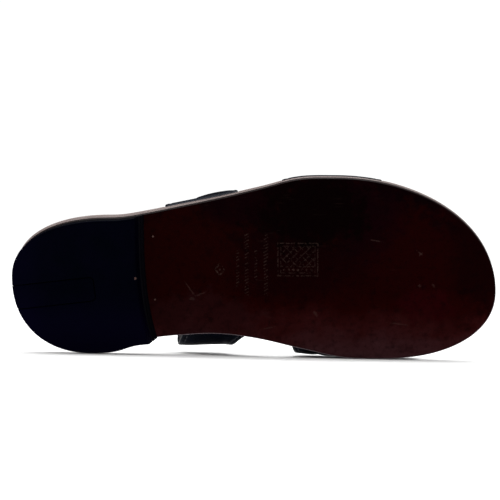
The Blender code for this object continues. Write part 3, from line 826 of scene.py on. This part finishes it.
def steel():
    s = Surface("buckle_steel", Metallic=1.0)
    lines = s.noise(0.5, detail=3, place=s.stretch(0.12, 1.0, 1.0))
    tone = s.ramp(s.noise(5, detail=3), (0.3, (0.42, 0.42, 0.43)), (0.8, (0.58, 0.58, 0.58)))
    return s.finish(tone, s.sum((lines, 0.22), (0.2, 1.0)), (lines, 0.012))


def brad_metal():
    s = Surface("brad_metal", Metallic=1.0)
    spots = s.noise(0.6, detail=3)
    tone = s.ramp(spots, (0.3, (0.03, 0.014, 0.012)), (0.8, (0.09, 0.055, 0.048)))
    return s.finish(tone, s.sum((spots, 0.3), (0.3, 1.0)), (spots, 0.03))


SOLE, SOLE_EDGE, LAYERS, STACK = polished_sole(), sole_edge(), layered_edge(), stacked_heel()
RUBBER, CALF, PAINT, LINING, INSOLE = rubber(), band_leather(), edge_paint(), lining(), footbed_leather()
BAND_THREAD = thread("band_thread", (0.020, 0.021, 0.030))
FOOTBED_THREAD = thread("footbed_thread", (0.075, 0.052, 0.038))
STEEL, BRAD = steel(), brad_metal()


def dress(obj, slot, *nodes):
    """Says what a piece rides on and which solids it stands for, which it hides; slot is not used."""
    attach(obj, "root")
    if nodes:
        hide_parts(*nodes)
    return obj


# ---------------------------------------------------------------- sole
def stations(side, heel_steps, middle, toe_steps):
    """Where a slab's rows meet one side; middle gives (station or None for the side's end, steps) runs."""
    table = INNER_SIDE if side == "inner" else OUTER_SIDE
    at, end = table[0][0], table[-1][0]
    runs = [at * (1 - np.cos(np.pi / 2 * np.arange(heel_steps) / heel_steps))]
    for stop, steps in middle:
        stop = end if stop is None else stop
        runs.append(at + (stop - at) * np.arange(steps) / steps)
        at = stop
    runs.append(end + (LENGTH - end) * np.sin(np.pi / 2 * np.arange(toe_steps + 1) / toe_steps))
    return np.concatenate(runs)


def side_line(side, x):
    """Plan points of the sole's edge on one side."""
    return np.stack([x, edge(side, x)], axis=1)


def sole_rings(profile, rows):
    """Closed rings round the sole for a profile of (distance inside the outline, height function)."""
    outer, inner = (side_line(side, stations(side, *rows)) for side in ("outer", "inner"))
    outline = np.vstack([outer, inner[-2::-1]])
    rings = []
    for distance, height in profile:
        plan = inset(outline, distance)
        rings.append(np.column_stack([plan, height(plan[:, 0])]))
    return rings


def slab(name, profile, rows, shares, reliefs, materials, ring_slots=0, ring_marks=0.0):
    """A sole-shaped piece: rings up its side, and a grid across its lower and upper faces.

    shares and reliefs are pairs, for the lower and the upper face. A relief gives (height to add, mark)
    for stations, distances from the axis, shares of the way across and the width there.
    """
    rings = sole_rings(profile, rows)
    count = len(rings[0]) // 2 + 1
    points, faces, slots, marks = [], [], [], []
    start = 0
    for ring, across, relief, slot, flip in (
        (rings[0], shares[0], reliefs[0], 0, False),
        (rings[-1], shares[1], reliefs[1], len(materials) - 1, True),
    ):
        outer, inner = ring[:count], ring[count - 1 :][::-1]
        share = np.asarray(across)[None, :, None]
        grid = (1 - share) * outer[:, None] + share * inner[:, None]
        width = np.linalg.norm(inner - outer, axis=1)[:, None]
        lift, mark = relief(grid[..., 0], grid[..., 1], share[..., 0], width)
        grid[:, 1:-1, 2] += lift[:, 1:-1]
        points.append(grid.reshape(-1, 3))
        marks.append(mark.ravel())
        some = grid_faces(*grid.shape[:2], start, flip)
        faces += some
        slots += [slot] * len(some)
        start += len(points[-1])
    wall = np.array(rings)
    points.append(wall.reshape(-1, 3))
    marks.append(np.repeat(np.broadcast_to(ring_marks, len(wall)), wall.shape[1]))
    some = grid_faces(*wall.shape[:2], start)
    faces += some
    slots += np.repeat(np.broadcast_to(ring_slots, len(wall) - 1), wall.shape[1] - 1).tolist()
    return add_object(name, np.concatenate(points), faces, materials, slots, np.concatenate(marks))


def profile_of(base, table, inside=0.0):
    """A slab's profile from a table of (distance further inside the outline, height above a base)."""
    return [(inside + distance, lambda x, rise=rise: base(x) + rise) for distance, rise in table]


def flat(x, y, share, width):
    return np.zeros_like(x), np.zeros_like(x)


def stroke(distance, width):
    """1 on a tooled line of a width, falling to 0 beside it."""
    return np.clip((width / 2 - np.abs(distance)) / 0.3 + 0.5, 0, 1)


def repeat(value, pitch):
    """Distance to the nearest of evenly spaced lines."""
    return (value + pitch / 2) % pitch - pitch / 2


def tooling(x, y):
    """How deeply the waist is tooled: a framed lattice with a row of beads, slanted strokes, a lozenge."""
    cx, cy, hx, hy = TOOLED_PANEL
    u, v = x - cx, y - cy
    beyond = np.maximum(np.abs(u) - hx, np.abs(v) - hy)
    second_line, margin, divider, bead_row = 1.7, 2.2, 4.3, 6.2
    lattice_pitch, bead_pitch, stroke_pitch = 4.4, 2.7, 1.95
    inside = np.abs(u) < hx - margin
    diagonals = [stroke(repeat(way, lattice_pitch) / 1.41, 0.4) for way in (u + v, u - v)]
    lattice = np.maximum(*diagonals) * (inside & (v > -hy + margin) & (v < divider - 0.6))
    rule = stroke(v - divider, 0.45) * inside
    beads = stroke(np.hypot(repeat(u, bead_pitch), v - bead_row), 1.5) * inside
    made = np.maximum.reduce([stroke(beyond, 0.6), stroke(beyond + second_line, 0.35), lattice, rule, beads])
    for station, start, end, half in TOOLED_ROWS:
        strokes = stroke(repeat(y + 0.6 * (x - station), stroke_pitch) / 1.2, 0.5)
        strokes = strokes * (np.abs(x - station) < half) * (y > start) * (y < end)
        made = np.maximum(made, strokes)
    cx, cy, hx, hy = TOOLED_LOZENGE
    ring = (np.abs(x - cx) / hx + np.abs(y - cy) / hy - 1) * 2.0
    dot = np.hypot(x - cx, y - cy)
    return np.maximum.reduce([made, stroke(ring, 0.8), stroke(dot, 1.3)])


def make_outsole():
    tooled_back, tooled_front = 117.0, 184.0
    rows = (40, ((tooled_back, 44), (tooled_front, 200), (None, 16)), 44)
    fine = np.linspace(0.22, 0.80, 170)
    shares = np.concatenate([np.linspace(0, 0.22, 16)[:-1], fine, np.linspace(0.80, 1, 15)[1:]])

    def ground_face(x, y, share, width):
        full = np.clip(width / 50, 0, 1)
        made = tooling(x, y)
        return -CROWN * full * (1 - (2 * share - 1) ** 4) + TOOLING_DEPTH * made, made

    foot = ((1.5, 0.0), (0.95, 0.03), (0.55, 0.12), (0.22, 0.38), (0.06, 0.7), (0.0, 1.05))
    profile = profile_of(lambda x: sole_height(x) + CROWN, foot)
    profile += profile_of(lambda x: sole_height(x) + OUTSOLE, ((0.0, -0.5), (0.12, -0.15), (0.45, 0.0)))
    slots = [0, 0, 1, 1, 1, 1, 1, 1]  # up the side: the sole's polish, then the edge's paint
    # rings marked for the painted highlight along the inner side's lower corner
    worn = [0, 0, 0, 1, 1, 0, 0, 0, 0]
    faces = (shares, np.linspace(0, 1, 9)), (ground_face, flat)
    outsole = slab("outsole_leather", profile, rows, *faces, [SOLE, SOLE_EDGE], slots, worn)
    dress(outsole, "sole_leather", "outsole")


def make_midsole():
    rows = (36, ((None, 90),), 40)
    shares = np.linspace(0, 1, 13)
    layers = ((0.0, 0.55), (0.02, 0.12), (0.06, 0.0), (0.36, 0.0), (0.40, 0.28), (0.44, 0.0))
    layers += ((0.66, 0.0), (0.69, 0.22), (0.72, 0.0), (0.93, 0.0), (0.98, 0.15), (1.0, 0.6))
    profile = [(d, lambda x, f=f: midsole_base(x) * (1 - f) + midsole_top(x) * f) for f, d in layers]
    # marks for the edge's painted shade: 1 in the grooves, 0.42 on the lower layers, 0 on the top layer
    marks = [1.0 if 0.2 <= distance <= 0.3 else 0.42 * (share < 0.69) for share, distance in layers]
    faces = (shares, shares), (flat, flat)
    midsole = slab("midsole_layers", profile, rows, *faces, [LAYERS], ring_marks=marks)
    roots = (
        ("forefoot_inner", "inner", FOREFOOT_BAND[0]),
        ("forefoot_outer", "outer", FOREFOOT_BAND[-1]),
        ("instep_inner", "inner", INSTEP_BAND[0]),
        ("instep_outer", "outer", SIDE_STRAP[-1]),
    )
    carve(midsole, [pocket(*root) for root in roots])
    dress(midsole, "edge_leather", "midsole")


def pocket(name, side, band):
    """Cutter for the shallow rebate in the midsole's top that takes a band's turned-in end."""
    sign = 1 if side == "inner" else -1
    x = np.linspace(band[1] - GAP, band[2] + GAP, 13)
    depth = BAND_DEPTH + TURN_UNDER + GAP
    low = midsole_top(x) - TURN_WALL - GAP
    beyond, above = 3.0, 4.0  # how far it reaches out past the midsole's edge, and up
    corners = ((-depth, 0.0), (beyond, 0.0), (beyond, above), (-depth, above))
    loops = [np.column_stack([x, edge(side, x) + sign * a, low + b]) for a, b in corners]
    points = np.stack(loops, axis=1).reshape(-1, 3)
    return add_object("cut_" + name, points, ring_faces(np.arange(len(points)).reshape(-1, 4)), [LAYERS])


def make_footbed():
    rows = (40, ((None, 120),), 44)

    def worn(x, y, share, width):
        made = np.zeros_like(x)
        for station, middle, along, across, depth in FOOT_PRINT:
            made += depth * np.exp(-(((x - station) / along) ** 2) - ((y - middle) / across) ** 2)
        return -made * np.clip(width / 40, 0, 1), np.clip(made / 0.7, 0, 1)

    rise = ((0.5, -FOOTBED), (0.1, 0.3 - FOOTBED), (0.0, 0.8 - FOOTBED), (0.0, -1.3), (0.22, -0.75))
    rise += ((0.65, -0.32), (1.2, -0.1), (1.9, 0.0), (3.6, 0.0), (4.0, -0.12), (4.4, -0.3))
    rise += ((4.8, -0.12), (5.2, 0.0), (7.0, 0.0))
    faces = (np.linspace(0, 1, 9), np.linspace(0, 1, 49)), (flat, worn)
    footbed = slab("footbed_leather", profile_of(footbed_top, rise, FOOTBED_INSET), rows, *faces, [INSOLE])
    dress(footbed, "footbed_leather", "footbed")
    run = sole_rings(profile_of(footbed_top, ((4.4, -0.22),), FOOTBED_INSET), rows)[0]
    ways = np.tile((0.0, 0.0, 1.0), (len(run), 1))
    stitches("footbed_stitches", [(run, ways)], FOOTBED_THREAD, "footbed_leather")


# ---------------------------------------------------------------- heel
def breast(share, height):
    return BREAST_OUTER + BREAST_ADVANCE * share**3 + BREAST_SLOPE * height / HEEL_HEIGHT


def heel_ring(height, distance):
    """The heel's outline at a height, moved in by a distance: its sides flare a little to the ground."""
    turns = 1 - np.cos(np.pi / 2 * np.arange(45) / 44)
    outer = side_line("outer", breast(0, height) * turns)
    inner = side_line("inner", breast(1, height) * turns)
    sides = inset(np.vstack([inner[::-1], outer[1:]]), distance - HEEL_FLARE * (1 - height / HEEL_HEIGHT))
    share = np.linspace(0, 1, 17)[1:-1, None]
    front = sides[-1] * (1 - share) + sides[0] * share
    front[:, 0] = breast(share[:, 0], height) - distance
    sides[[0, -1], 0] -= distance
    plan = np.vstack([sides, front, sides[:1]])
    return np.column_stack([plan, np.full(len(plan), height)])


def heel_slab(name, base, top, profile, materials):
    """A closed piece of the heel: rings of (distance, share of the way up), and flat faces at both ends."""
    rings = np.array([heel_ring(base + (top - base) * share, d) for d, share in profile])
    rings = rings[:, :-1]
    number = np.arange(rings.size // 3).reshape(rings.shape[:2])
    faces = ring_faces(number, capped=False) + [number[0, ::-1].tolist(), number[-1].tolist()]
    return add_object(name, rings.reshape(-1, 3), faces, materials)


def tongue_prism(name, grow):
    """The wear tongue's outline, drawn up through the lift and out past the back of the heel."""
    start, end = np.array([-6.0, TONGUE_BACK + 0.6]), np.array([TONGUE_LENGTH, TONGUE_FRONT])
    way = unit(end - start)
    side = np.array([-way[1], way[0]])
    half, corner = TONGUE_WIDTH / 2 + grow, TONGUE_CORNER + grow
    end = end + way * grow
    outline = [start - side * half]
    for centre_side, first in ((-1, -90), (1, 0)):
        centre = end - way * corner + side * centre_side * (half - corner)
        for k in range(9):
            turn = math.radians(first + 90 * k / 8)
            outline.append(centre + corner * (math.cos(turn) * way + math.sin(turn) * side))
    outline.append(start + side * half)
    low, high = (np.column_stack([outline, np.full(len(outline), z)]) for z in (-1.0, LIFT + 1.0))
    return add_object(name, *prism(low, high), [RUBBER])


def make_heel():
    rounded = ((1.9, 0.0), (1.1, 0.0), (0.55, 0.035), (0.16, 0.12), (0.0, 0.24))
    rounded += ((0.0, 0.92), (0.3, 1.0), (1.2, 1.0))
    for node, grow, operation in (("heel_lift", TONGUE_GAP, "DIFFERENCE"), ("heel_tongue", 0.0, "INTERSECT")):
        rubber_part = heel_slab(node + "_rubber", 0.0, LIFT - GAP, rounded, [RUBBER])
        carve(rubber_part, [tongue_prism("tongue_outline", grow)], operation)
        soften(rubber_part)
        dress(rubber_part, "rubber", node)
    stack = ((1.2, 0.0), (0.35, 0.0), (0.0, 0.05), (0.0, 0.46), (0.3, 0.5))
    stack += ((0.0, 0.54), (0.0, 0.95), (0.35, 1.0), (1.2, 1.0))
    layer = heel_slab("heel_layer_leather", LIFT, HEEL_HEIGHT - GAP, stack, [STACK])
    dress(layer, "heel_leather", "heel_layer")


def make_brads():
    sole_head, lift_head = (0.7, 0.22), (0.9, 0.10)  # radius, rise
    heads = [dome((x, y, float(sole_height(x)) - 0.02), *sole_head) for x, y in SOLE_BRADS]
    heads += [dome((x, y, 0.12), *lift_head) for x, y in LIFT_BRADS]
    dress(add_object("sole_brads", *join(heads), [BRAD]), "metal")


# ---------------------------------------------------------------- bands
def creases(x, share, table):
    """Soft troughs with low ridges beside them, between pairs of points on a band."""
    made = np.zeros_like(x)
    for x0, s0, x1, s1, depth, half in table:
        p, q = np.array([x0, s0 * CREASE_GIRTH]), np.array([x1, s1 * CREASE_GIRTH])
        way = q - p
        reach = np.linalg.norm(way)
        way /= reach
        u, v = x - p[0], share * CREASE_GIRTH - p[1]
        along = u * way[0] + v * way[1]
        bow = 2.2 * np.sin(np.pi * np.clip(along / reach, 0, 1))
        off = u * -way[1] + v * way[0] + bow
        fade = smooth(along / (0.3 * reach)) * smooth((reach - along) / (0.3 * reach))
        trough = np.exp(-((off / half) ** 2))
        ridge = np.exp(-(((np.abs(off) - 2.1 * half) / half) ** 2))
        made += depth * fade * (0.3 * ridge - trough)
    return made


def root_path(side, x, swell):
    """Inside and outside points of a band's turned-in end, from the footbed's top down and under."""
    sign = 1 if side == "inner" else -1
    rim, top = edge(side, x), midsole_top(x)
    tight, wide = 0.5, 2.3  # radii of the turn, inside and outside
    path = [((BAND_DEPTH, h), (ROOT_INSET, h)) for h in np.linspace(GAP + FOOTBED, tight, 5)[1:]]
    for turn in np.radians(np.linspace(0, 90, 7))[1:]:
        low = (BAND_DEPTH + tight * (1 - math.cos(turn)), tight - tight * math.sin(turn))
        high = (ROOT_INSET + wide * (1 - math.cos(turn)), tight - wide * math.sin(turn))
        path.append((low, high))
    for more in (2.5, 5.0, TURN_UNDER - 0.6, TURN_UNDER):
        path.append(((BAND_DEPTH + more, 0.0), (BAND_DEPTH + more, -TURN_WALL)))
    rows = []
    for pair in path:
        stands_out = swell * smooth((pair[1][1] + TURN_WALL) / (GAP + FOOTBED / 2 + TURN_WALL))
        rows.append([np.stack([x, rim - sign * (d - stands_out), top + up], axis=-1) for d, up in pair])
    return rows


class Band:
    """A strip of leather round the upper, with points given by a share of the way and a place across."""

    def __init__(self, edges, ride=None, tip=0.0, wrinkles=(), swell=0.0):
        self.edges, self.ride, self.tip, self.wrinkles = edges, ride, tip, wrinkles
        self.swell, self.last = swell, edges[-1][0]

    def surface(self, share, across):
        """Inside points and outward ways at shares and places across (0 back edge, 1 front edge)."""
        share, across = np.broadcast_arrays(np.asarray(share, float), np.asarray(across, float))
        x = self.station(share, across)
        at = share
        if self.tip:
            bow = 1 - np.sqrt(np.maximum(0, 1 - (2 * across - 1) ** 2))
            at = share - bow * np.maximum(0, share - self.last + self.tip)
        points, ways = UPPER.at(x, at)
        if self.ride:
            points = points + ways * self.ride(share, points)[..., None]
        if self.wrinkles:
            points = points + ways * creases(x, share, self.wrinkles)[..., None]
        return points, ways

    def station(self, share, across):
        ends = read(self.edges, share)
        return ends[..., 0] + (ends[..., 1] - ends[..., 0]) * across

    def width(self, share):
        ends = read(self.edges, share)
        return ends[..., 1] - ends[..., 0]

    def columns(self, shares, spacing):
        """Places across the strip: close together at its edges and stitch rows, evenly spaced between."""
        near = np.append(EDGE_STEPS, STITCH_INSET + CHANNEL_COLUMNS)
        width = self.width(shares)
        middle = int(max(4, (width.mean() - 2 * near[-1]) / spacing))
        across = near / width[:, None]
        spread = across[:, -1:] + (1 - 2 * across[:, -1:]) * np.linspace(0, 1, middle)
        return np.hstack([across, spread[:, 1:-1], 1 - across[:, ::-1]])

    def root(self, side, share, across, from_edge):
        """Outside and inside points of the turned-in end at a side."""
        fill = self.fullness(from_edge)[:, None]
        rows = root_path(side, self.station(share, across), self.swell)
        return [[low + (high - low) * (0.5 + sign * 0.5 * fill) for low, high in rows] for sign in (1, -1)]

    def solid(self, name, shares, spacing):
        """The strip's mesh: rounded edges, sunk stitch channels, and turned-in ends at share 0 or 1."""
        share, across = shares[:, None], self.columns(shares, spacing)
        from_edge = np.minimum(across, 1 - across) * self.width(share)
        points, ways = self.surface(share, across)
        full = self.fullness(from_edge)
        sunk = self.channel(from_edge)
        if self.tip:
            beyond = np.abs(self.last - share) * UPPER.girth(BUCKLE_STATION)
            full = full * self.fullness(beyond)
            inside_tip = (beyond > STITCH_INSET - 0.4) & (from_edge > STITCH_INSET - 0.5)
            round_tip = np.maximum(sunk, self.channel(beyond))
            sunk = np.where(inside_tip, round_tip, sunk * (beyond > STITCH_INSET))
        half = BAND_WALL / 2
        outer = points + ways * (half + half * full - sunk)[..., None]
        inner = points + ways * (half - half * full)[..., None]
        if shares[0] == 0.0:
            root_out, root_in = self.root("inner", 0.0, across[0], from_edge[0])
            outer, inner = np.concatenate([root_out[::-1], outer]), np.concatenate([root_in[::-1], inner])
        if shares[-1] == 1.0:
            root_out, root_in = self.root("outer", 1.0, across[-1], from_edge[-1])
            outer, inner = np.concatenate([outer, root_out]), np.concatenate([inner, root_in])
        return strip(name, outer, inner)

    @staticmethod
    def fullness(from_edge):
        """The share of its thickness that the rounded leather has at distances from an edge."""
        return np.sqrt(np.maximum(0, 1 - np.maximum(0, 1 - from_edge / EDGE_ROUND) ** 2))

    @staticmethod
    def channel(from_edge):
        """How deep the leather is sunk under a stitch row, at distances from an edge."""
        return CHANNEL_DEPTH * np.exp(-(((from_edge - STITCH_INSET) / CHANNEL_WIDTH) ** 2))

    def stitch_rows(self, shares):
        """Points and ways along the stitch rows at the back edge and the front edge."""
        across = STITCH_INSET / self.width(shares)
        rows = [self.surface(shares, place) for place in (across, 1 - across)]
        return [(points + ways * STITCH_HEIGHT, ways) for points, ways in rows]


def strip(name, outer, inner):
    """A closed solid between an outside and an inside grid that share their long edges."""
    rows, columns = outer.shape[:2]
    points = np.concatenate([outer.reshape(-1, 3), inner.reshape(-1, 3)])
    faces = grid_faces(rows, columns) + grid_faces(rows, columns, rows * columns, flip=True)
    painted = np.arange(columns - 1)
    painted = np.minimum(painted, painted[::-1]) < len(EDGE_STEPS) - 1
    slots = np.tile(np.where(painted, 1, 0), rows - 1).tolist()
    slots += np.tile(np.where(painted, 1, 2), rows - 1).tolist()
    for row, flip in ((0, True), (rows - 1, False)):
        a = row * columns + np.arange(columns - 1)
        b = a + rows * columns
        cap = np.stack([a, a + 1, b + 1, b], axis=1)
        faces += (cap[:, ::-1] if flip else cap).tolist()
        slots += [1] * (columns - 1)
    return add_object(name, points, faces, [CALF, PAINT, LINING], slots, sharp=50)


def stitches(name, runs, material, slot):
    """Thread stitches, end to end along runs of (points, ways out of the leather)."""
    t = np.linspace(0, 1, 7)
    radii = THREAD_RADIUS * np.array([0.45, 0.85, 1.0, 1.0, 1.0, 0.85, 0.45])
    sink = THREAD_RADIUS * np.array([-0.9, -0.15, 0.1, 0.15, 0.1, -0.15, -0.9])
    paths, ups = [], []
    for points, ways in runs:
        run = run_length(points)
        starts = np.arange(STITCH_PITCH / 2, run[-1] - STITCH_LENGTH, STITCH_PITCH)
        at = starts[:, None] + STITCH_LENGTH * t
        both = [[np.interp(at, run, v[:, k]) for k in range(3)] for v in (points, ways)]
        path, way = (np.stack(v, axis=-1) for v in both)
        paths.append(path + unit(way) * sink[:, None])
        ups.append(unit(way))
    paths, ups = np.concatenate(paths), np.concatenate(ups)
    made = add_object(name, *tubes(paths, ups, radii, 8, flat=0.8), [material])
    dress(made, slot)


def make_forefoot_band():
    band = Band(FOREFOOT_BAND, wrinkles=FOREFOOT_CREASES)
    shares = np.linspace(0, 1, 190)
    dress(band.solid("forefoot_band_leather", shares, 1.1), "band_leather", "forefoot_band")
    rows = band.stitch_rows(np.linspace(0.0, 1.0, 400))
    stitches("forefoot_band_stitches", rows, BAND_THREAD, "band_leather")


def bar_middle(edges, share, height):
    middle = read(edges, share).mean()
    point, way = UPPER.at(middle, share)
    return point + way * height


def buckle_axes():
    """The hinge bar's middle, and the buckle's ways across, towards the free bar, and out."""
    hinge = bar_middle(SIDE_STRAP, HINGE_SHARE, HINGE_HEIGHT)
    free_share = HINGE_SHARE - BUCKLE_REACH / UPPER.girth(hinge[0])
    up = unit(bar_middle(INSTEP_BAND, free_share, FREE_BAR_HEIGHT) - hinge)
    across = unit(np.cross(up, UPPER.at(hinge[0], HINGE_SHARE)[1]))
    return hinge, across, up, np.cross(across, up)


HINGE, ACROSS, UP, OUT = buckle_axes()


def ride(share, points):
    """How far the instep band is lifted off the foot to pass under and over the buckle's bars."""
    lift = read(BAND_RIDE, (points - HINGE) @ UP)[..., 0]
    return np.where(share > RIDE_START, lift, 0.0)


def leather_cutter(name, shape, slot=1):
    """An object for carve from (points, faces): what it cuts or adds is calf (0) or edge paint (1)."""
    points, faces = shape
    return add_object(name, points, faces, [CALF, PAINT], [slot] * len(faces))


def stadium(name, half, reach, depth):
    """Cutter with rounded ends, along the buckle's way up from the hinge, through the leather."""
    ring = []
    for sign, end in ((1, reach[1] - half), (-1, reach[0] + half)):
        for turn in np.linspace(0, math.pi, 9):
            ring.append(ACROSS * half * math.cos(turn) * sign + UP * (end + sign * half * math.sin(turn)))
    ring = HINGE + np.array(ring)
    return leather_cutter(name, prism(ring + OUT * depth[0], ring + OUT * depth[1]))


def punch(name, band, distance):
    """Cutter for a round hole in the middle of the instep band, a distance from the hinge."""
    share = HINGE_SHARE - distance / UPPER.girth(BUCKLE_STATION)
    point, way = band.surface(share, 0.5)
    path = np.array([[point - way * 3, point + way * 6]])
    return leather_cutter(name, tubes(path, ACROSS[None, None], HOLE_RADIUS, 18))


def make_instep_band():
    girth = UPPER.girth(BUCKLE_STATION)
    band = Band(INSTEP_BAND, ride, TIP_POINT / girth, INSTEP_CREASES)
    end = band.last
    near_end = end - EDGE_STEPS[::-1] / girth
    channel = end - (STITCH_INSET + CHANNEL_COLUMNS[::-1]) / girth
    shares = np.concatenate([np.linspace(0, channel[0], 165)[:-1], channel, near_end])
    strap = band.solid("instep_band_leather", shares, 1.1)
    cutters = [stadium("cut_prong_hole", HOLE_WIDTH / 2, HOLE_REACH, (-4.0, 12.0))]
    cutters += [punch(f"cut_hole_{k}", band, d) for k, d in enumerate(PUNCHED_HOLES)]
    carve(strap, cutters)
    dress(strap, "band_leather", "instep_band")
    turn = end - STITCH_INSET / girth
    sides = band.stitch_rows(np.linspace(0.0, turn, 300))
    corner = STITCH_INSET / float(band.width(turn))
    points, ways = band.surface(turn, np.linspace(corner, 1 - corner, 60))
    tip = (points + ways * STITCH_HEIGHT, ways)
    whole = [np.concatenate([sides[0][k], tip[k][1:-1], sides[1][k][::-1]]) for k in (0, 1)]
    stitches("instep_band_stitches", [whole], BAND_THREAD, "band_leather")


def swell_out(share, points):
    """How far the side strap stands off the foot beside the sole."""
    return STRAP_SWELL * smooth((share - SWELL_START) / (1 - SWELL_START))


def make_side_strap():
    band = Band(SIDE_STRAP, swell_out, swell=STRAP_SWELL)
    shares = np.linspace(HINGE_SHARE + STRAP_START, 1.0, 46)
    strap = band.solid("side_strap_leather", shares, 1.2)
    half = band.width(HINGE_SHARE) / 2

    def bar(name, reach, radius, slot):
        path = np.array([[HINGE + ACROSS * reach * t for t in (-1, 1)]])
        return leather_cutter(name, tubes(path, OUT[None, None], radius, 32), slot)

    carve(strap, [bar("roll", half, ROLL_RADIUS, 0)], "UNION")
    bore = bar("cut_bore", half + 3, HINGE_RADIUS + BORE_CLEARANCE, 1)
    carve(strap, [bore, stadium("cut_slot", PRONG_SLOT / 2, SLOT_REACH, (-6.0, 6.0))])
    dress(strap, "band_leather", "side_strap")
    across = np.linspace(0.16, 0.84, 60)
    points, ways = band.surface(HINGE_SHARE + ROLL_ROW, across)
    rows = [(points + ways * (BAND_WALL + 0.1), ways)]
    rows += band.stitch_rows(np.linspace(HINGE_SHARE + EDGE_ROWS, 1.0, 120))
    stitches("side_strap_stitches", rows, BAND_THREAD, "band_leather")


def make_buckle_frame():
    half, reach, corner = BUCKLE_HALF_WIDTH, BUCKLE_REACH, BUCKLE_CORNER
    path, radii = [], []
    for (side, end), start in (((1, 1), 0), ((-1, 1), 90), ((-1, -1), 180), ((1, -1), 270)):
        middle = ACROSS * side * (half - corner) + UP * (reach / 2 + end * (reach / 2 - corner))
        for k in range(13):
            turn = math.radians(start + 90 * k / 12)
            path.append(HINGE + middle + corner * (math.cos(turn) * ACROSS + math.sin(turn) * UP))
            towards_hinge = smooth((reach * 0.25 - (path[-1] - HINGE) @ UP) / (reach * 0.2))
            radii.append(BAR_RADIUS + (HINGE_RADIUS - BAR_RADIUS) * float(towards_hinge))
    bars = tubes(np.array([path]), OUT[None, None], np.array([radii]), 20, closed=True)
    dress(add_object("buckle_frame_steel", *bars, [STEEL]), "metal", "buckle_frame")


def make_buckle_prong():
    hook = HINGE_RADIUS + 0.25 + PRONG_RADIUS
    turns = np.radians(np.arange(-200, 61, 10))[:, None]
    over = BAR_RADIUS + GAP + PRONG_RADIUS
    knots = [HINGE + hook * (math.cos(turns[-1, 0]) * UP + math.sin(turns[-1, 0]) * OUT)]
    knots += [HINGE + UP * BUCKLE_REACH * share + OUT * (over + rise) for share, rise in PRONG_RISE]
    knots = np.array(knots)
    run = run_length(knots)
    shank = read(np.column_stack([run, knots]), np.linspace(0, run[-1], 36))[1:]
    path = np.vstack([HINGE + hook * (np.cos(turns) * UP + np.sin(turns) * OUT), shank])
    radii = np.full(len(path), PRONG_RADIUS)
    radii[-4:] *= (0.97, 0.9, 0.75, 0.45)
    radii[:2] *= (0.7, 0.95)
    bar = tubes(path[None], ACROSS[None, None], radii[None], 14)
    dress(add_object("buckle_prong_steel", *bar, [STEEL]), "metal", "buckle_prong")


# ---------------------------------------------------------------- studio
CAMERA_TARGET = (-0.0028, -0.0424, 0.0636)
CAMERA_DISTANCE = 1.6434
CAMERA_ROLL = 1.081
LENS = 200.0
SEEN = (  # axis of the way looked, from, to, brightness added there and there
    ("Y", -0.9, 0.3, 0.4, 1.06),
    ("Z", 0.1, 1.0, 0.0, 1.0),
)
MIRRORED = (  # what a gloss shows: darker walls, with softboxes overhead and at both sides
    ("Y", -0.9, 0.3, 0.10, 0.04),
    ("Z", 0.62, 0.92, 0.0, 2.4),
    ("X", 0.45, 0.9, 0.0, 1.1),
    ("X", -0.45, -0.9, 0.0, 1.1),
)


def make_camera():
    data = bpy.data.cameras.new("camera")
    data.lens = LENS
    data.sensor_width = 36.0
    data.clip_end = 100.0
    camera = new_object("camera", data)
    x, y, z = CAMERA_TARGET
    facing = Matrix.Rotation(math.radians(90), 4, "X") @ Matrix.Rotation(math.radians(CAMERA_ROLL), 4, "Z")
    camera.matrix_world = Matrix.Translation((x, y - CAMERA_DISTANCE, z)) @ facing
    bpy.context.scene.camera = camera


def make_floor():
    reach, steps = 20.0, 8
    mesh = bpy.data.meshes.new("floor")
    work = bmesh.new()
    bmesh.ops.create_grid(work, x_segments=steps, y_segments=steps, size=reach)
    work.to_mesh(mesh)
    work.free()
    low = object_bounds()[0].z
    floor = new_object("floor", mesh)
    floor.location.z = low
    pale = bpy.data.materials.new("floor_pale")
    pale.use_nodes = True
    sockets = pale.node_tree.nodes["Principled BSDF"].inputs
    for socket, value in (("Base Color", (0.9, 0.9, 0.9)), ("Roughness", 0.9), ("Specular IOR Level", 0.1)):
        put(pale.node_tree, sockets[socket], value)
    mesh.materials.append(pale)


def add_light(name, place, aim, size, watts):
    data = bpy.data.lights.new(name, "AREA")
    data.shape = "DISK"
    data.size = size
    data.energy = watts
    light = new_object(name, data)
    light.location = place
    way = Matrix.Translation(place).inverted() @ Matrix.Translation(aim)
    light.rotation_mode = "QUATERNION"
    light.rotation_quaternion = way.translation.to_track_quat("-Z", "Y")


def make_light():
    """Soft light from above; surroundings that are white behind the shoe and grey in front of it."""
    place, size, watts = (0.1, 0.5, 1.7), 1.6, 16.0
    add_light("top_soft", place, (0.0, 0.0, 0.0), size, watts)
    world = bpy.data.worlds.new("studio")
    world.use_nodes = True
    tree = world.node_tree
    way = add_node(tree, "TexCoord", {}).outputs["Generated"]
    way = add_node(tree, "SeparateXYZ", {0: way}).outputs

    def brightness(slopes):
        total = 0.0
        for axis, *slope in slopes:
            total = add_node(tree, "Math", {0: total, 1: map_range(tree, way[axis], *slope)}).outputs[0]
        return total

    mirrored = add_node(tree, "LightPath", {}).outputs["Is Glossy Ray"]
    strength = {0: mirrored, 2: brightness(SEEN), 3: brightness(MIRRORED)}
    background = tree.nodes["Background"].inputs
    put(tree, background["Strength"], add_node(tree, "Mix", strength).outputs[0])
    put(tree, background["Color"], (1.0, 1.0, 1.0))
    bpy.context.scene.world = world
    bpy.context.scene.view_settings.view_transform = "Standard"


make_camera()
make_outsole()
make_midsole()
make_footbed()
make_heel()
make_brads()
make_forefoot_band()
make_instep_band()
make_side_strap()
make_buckle_frame()
make_buckle_prong()
make_floor()
make_light()
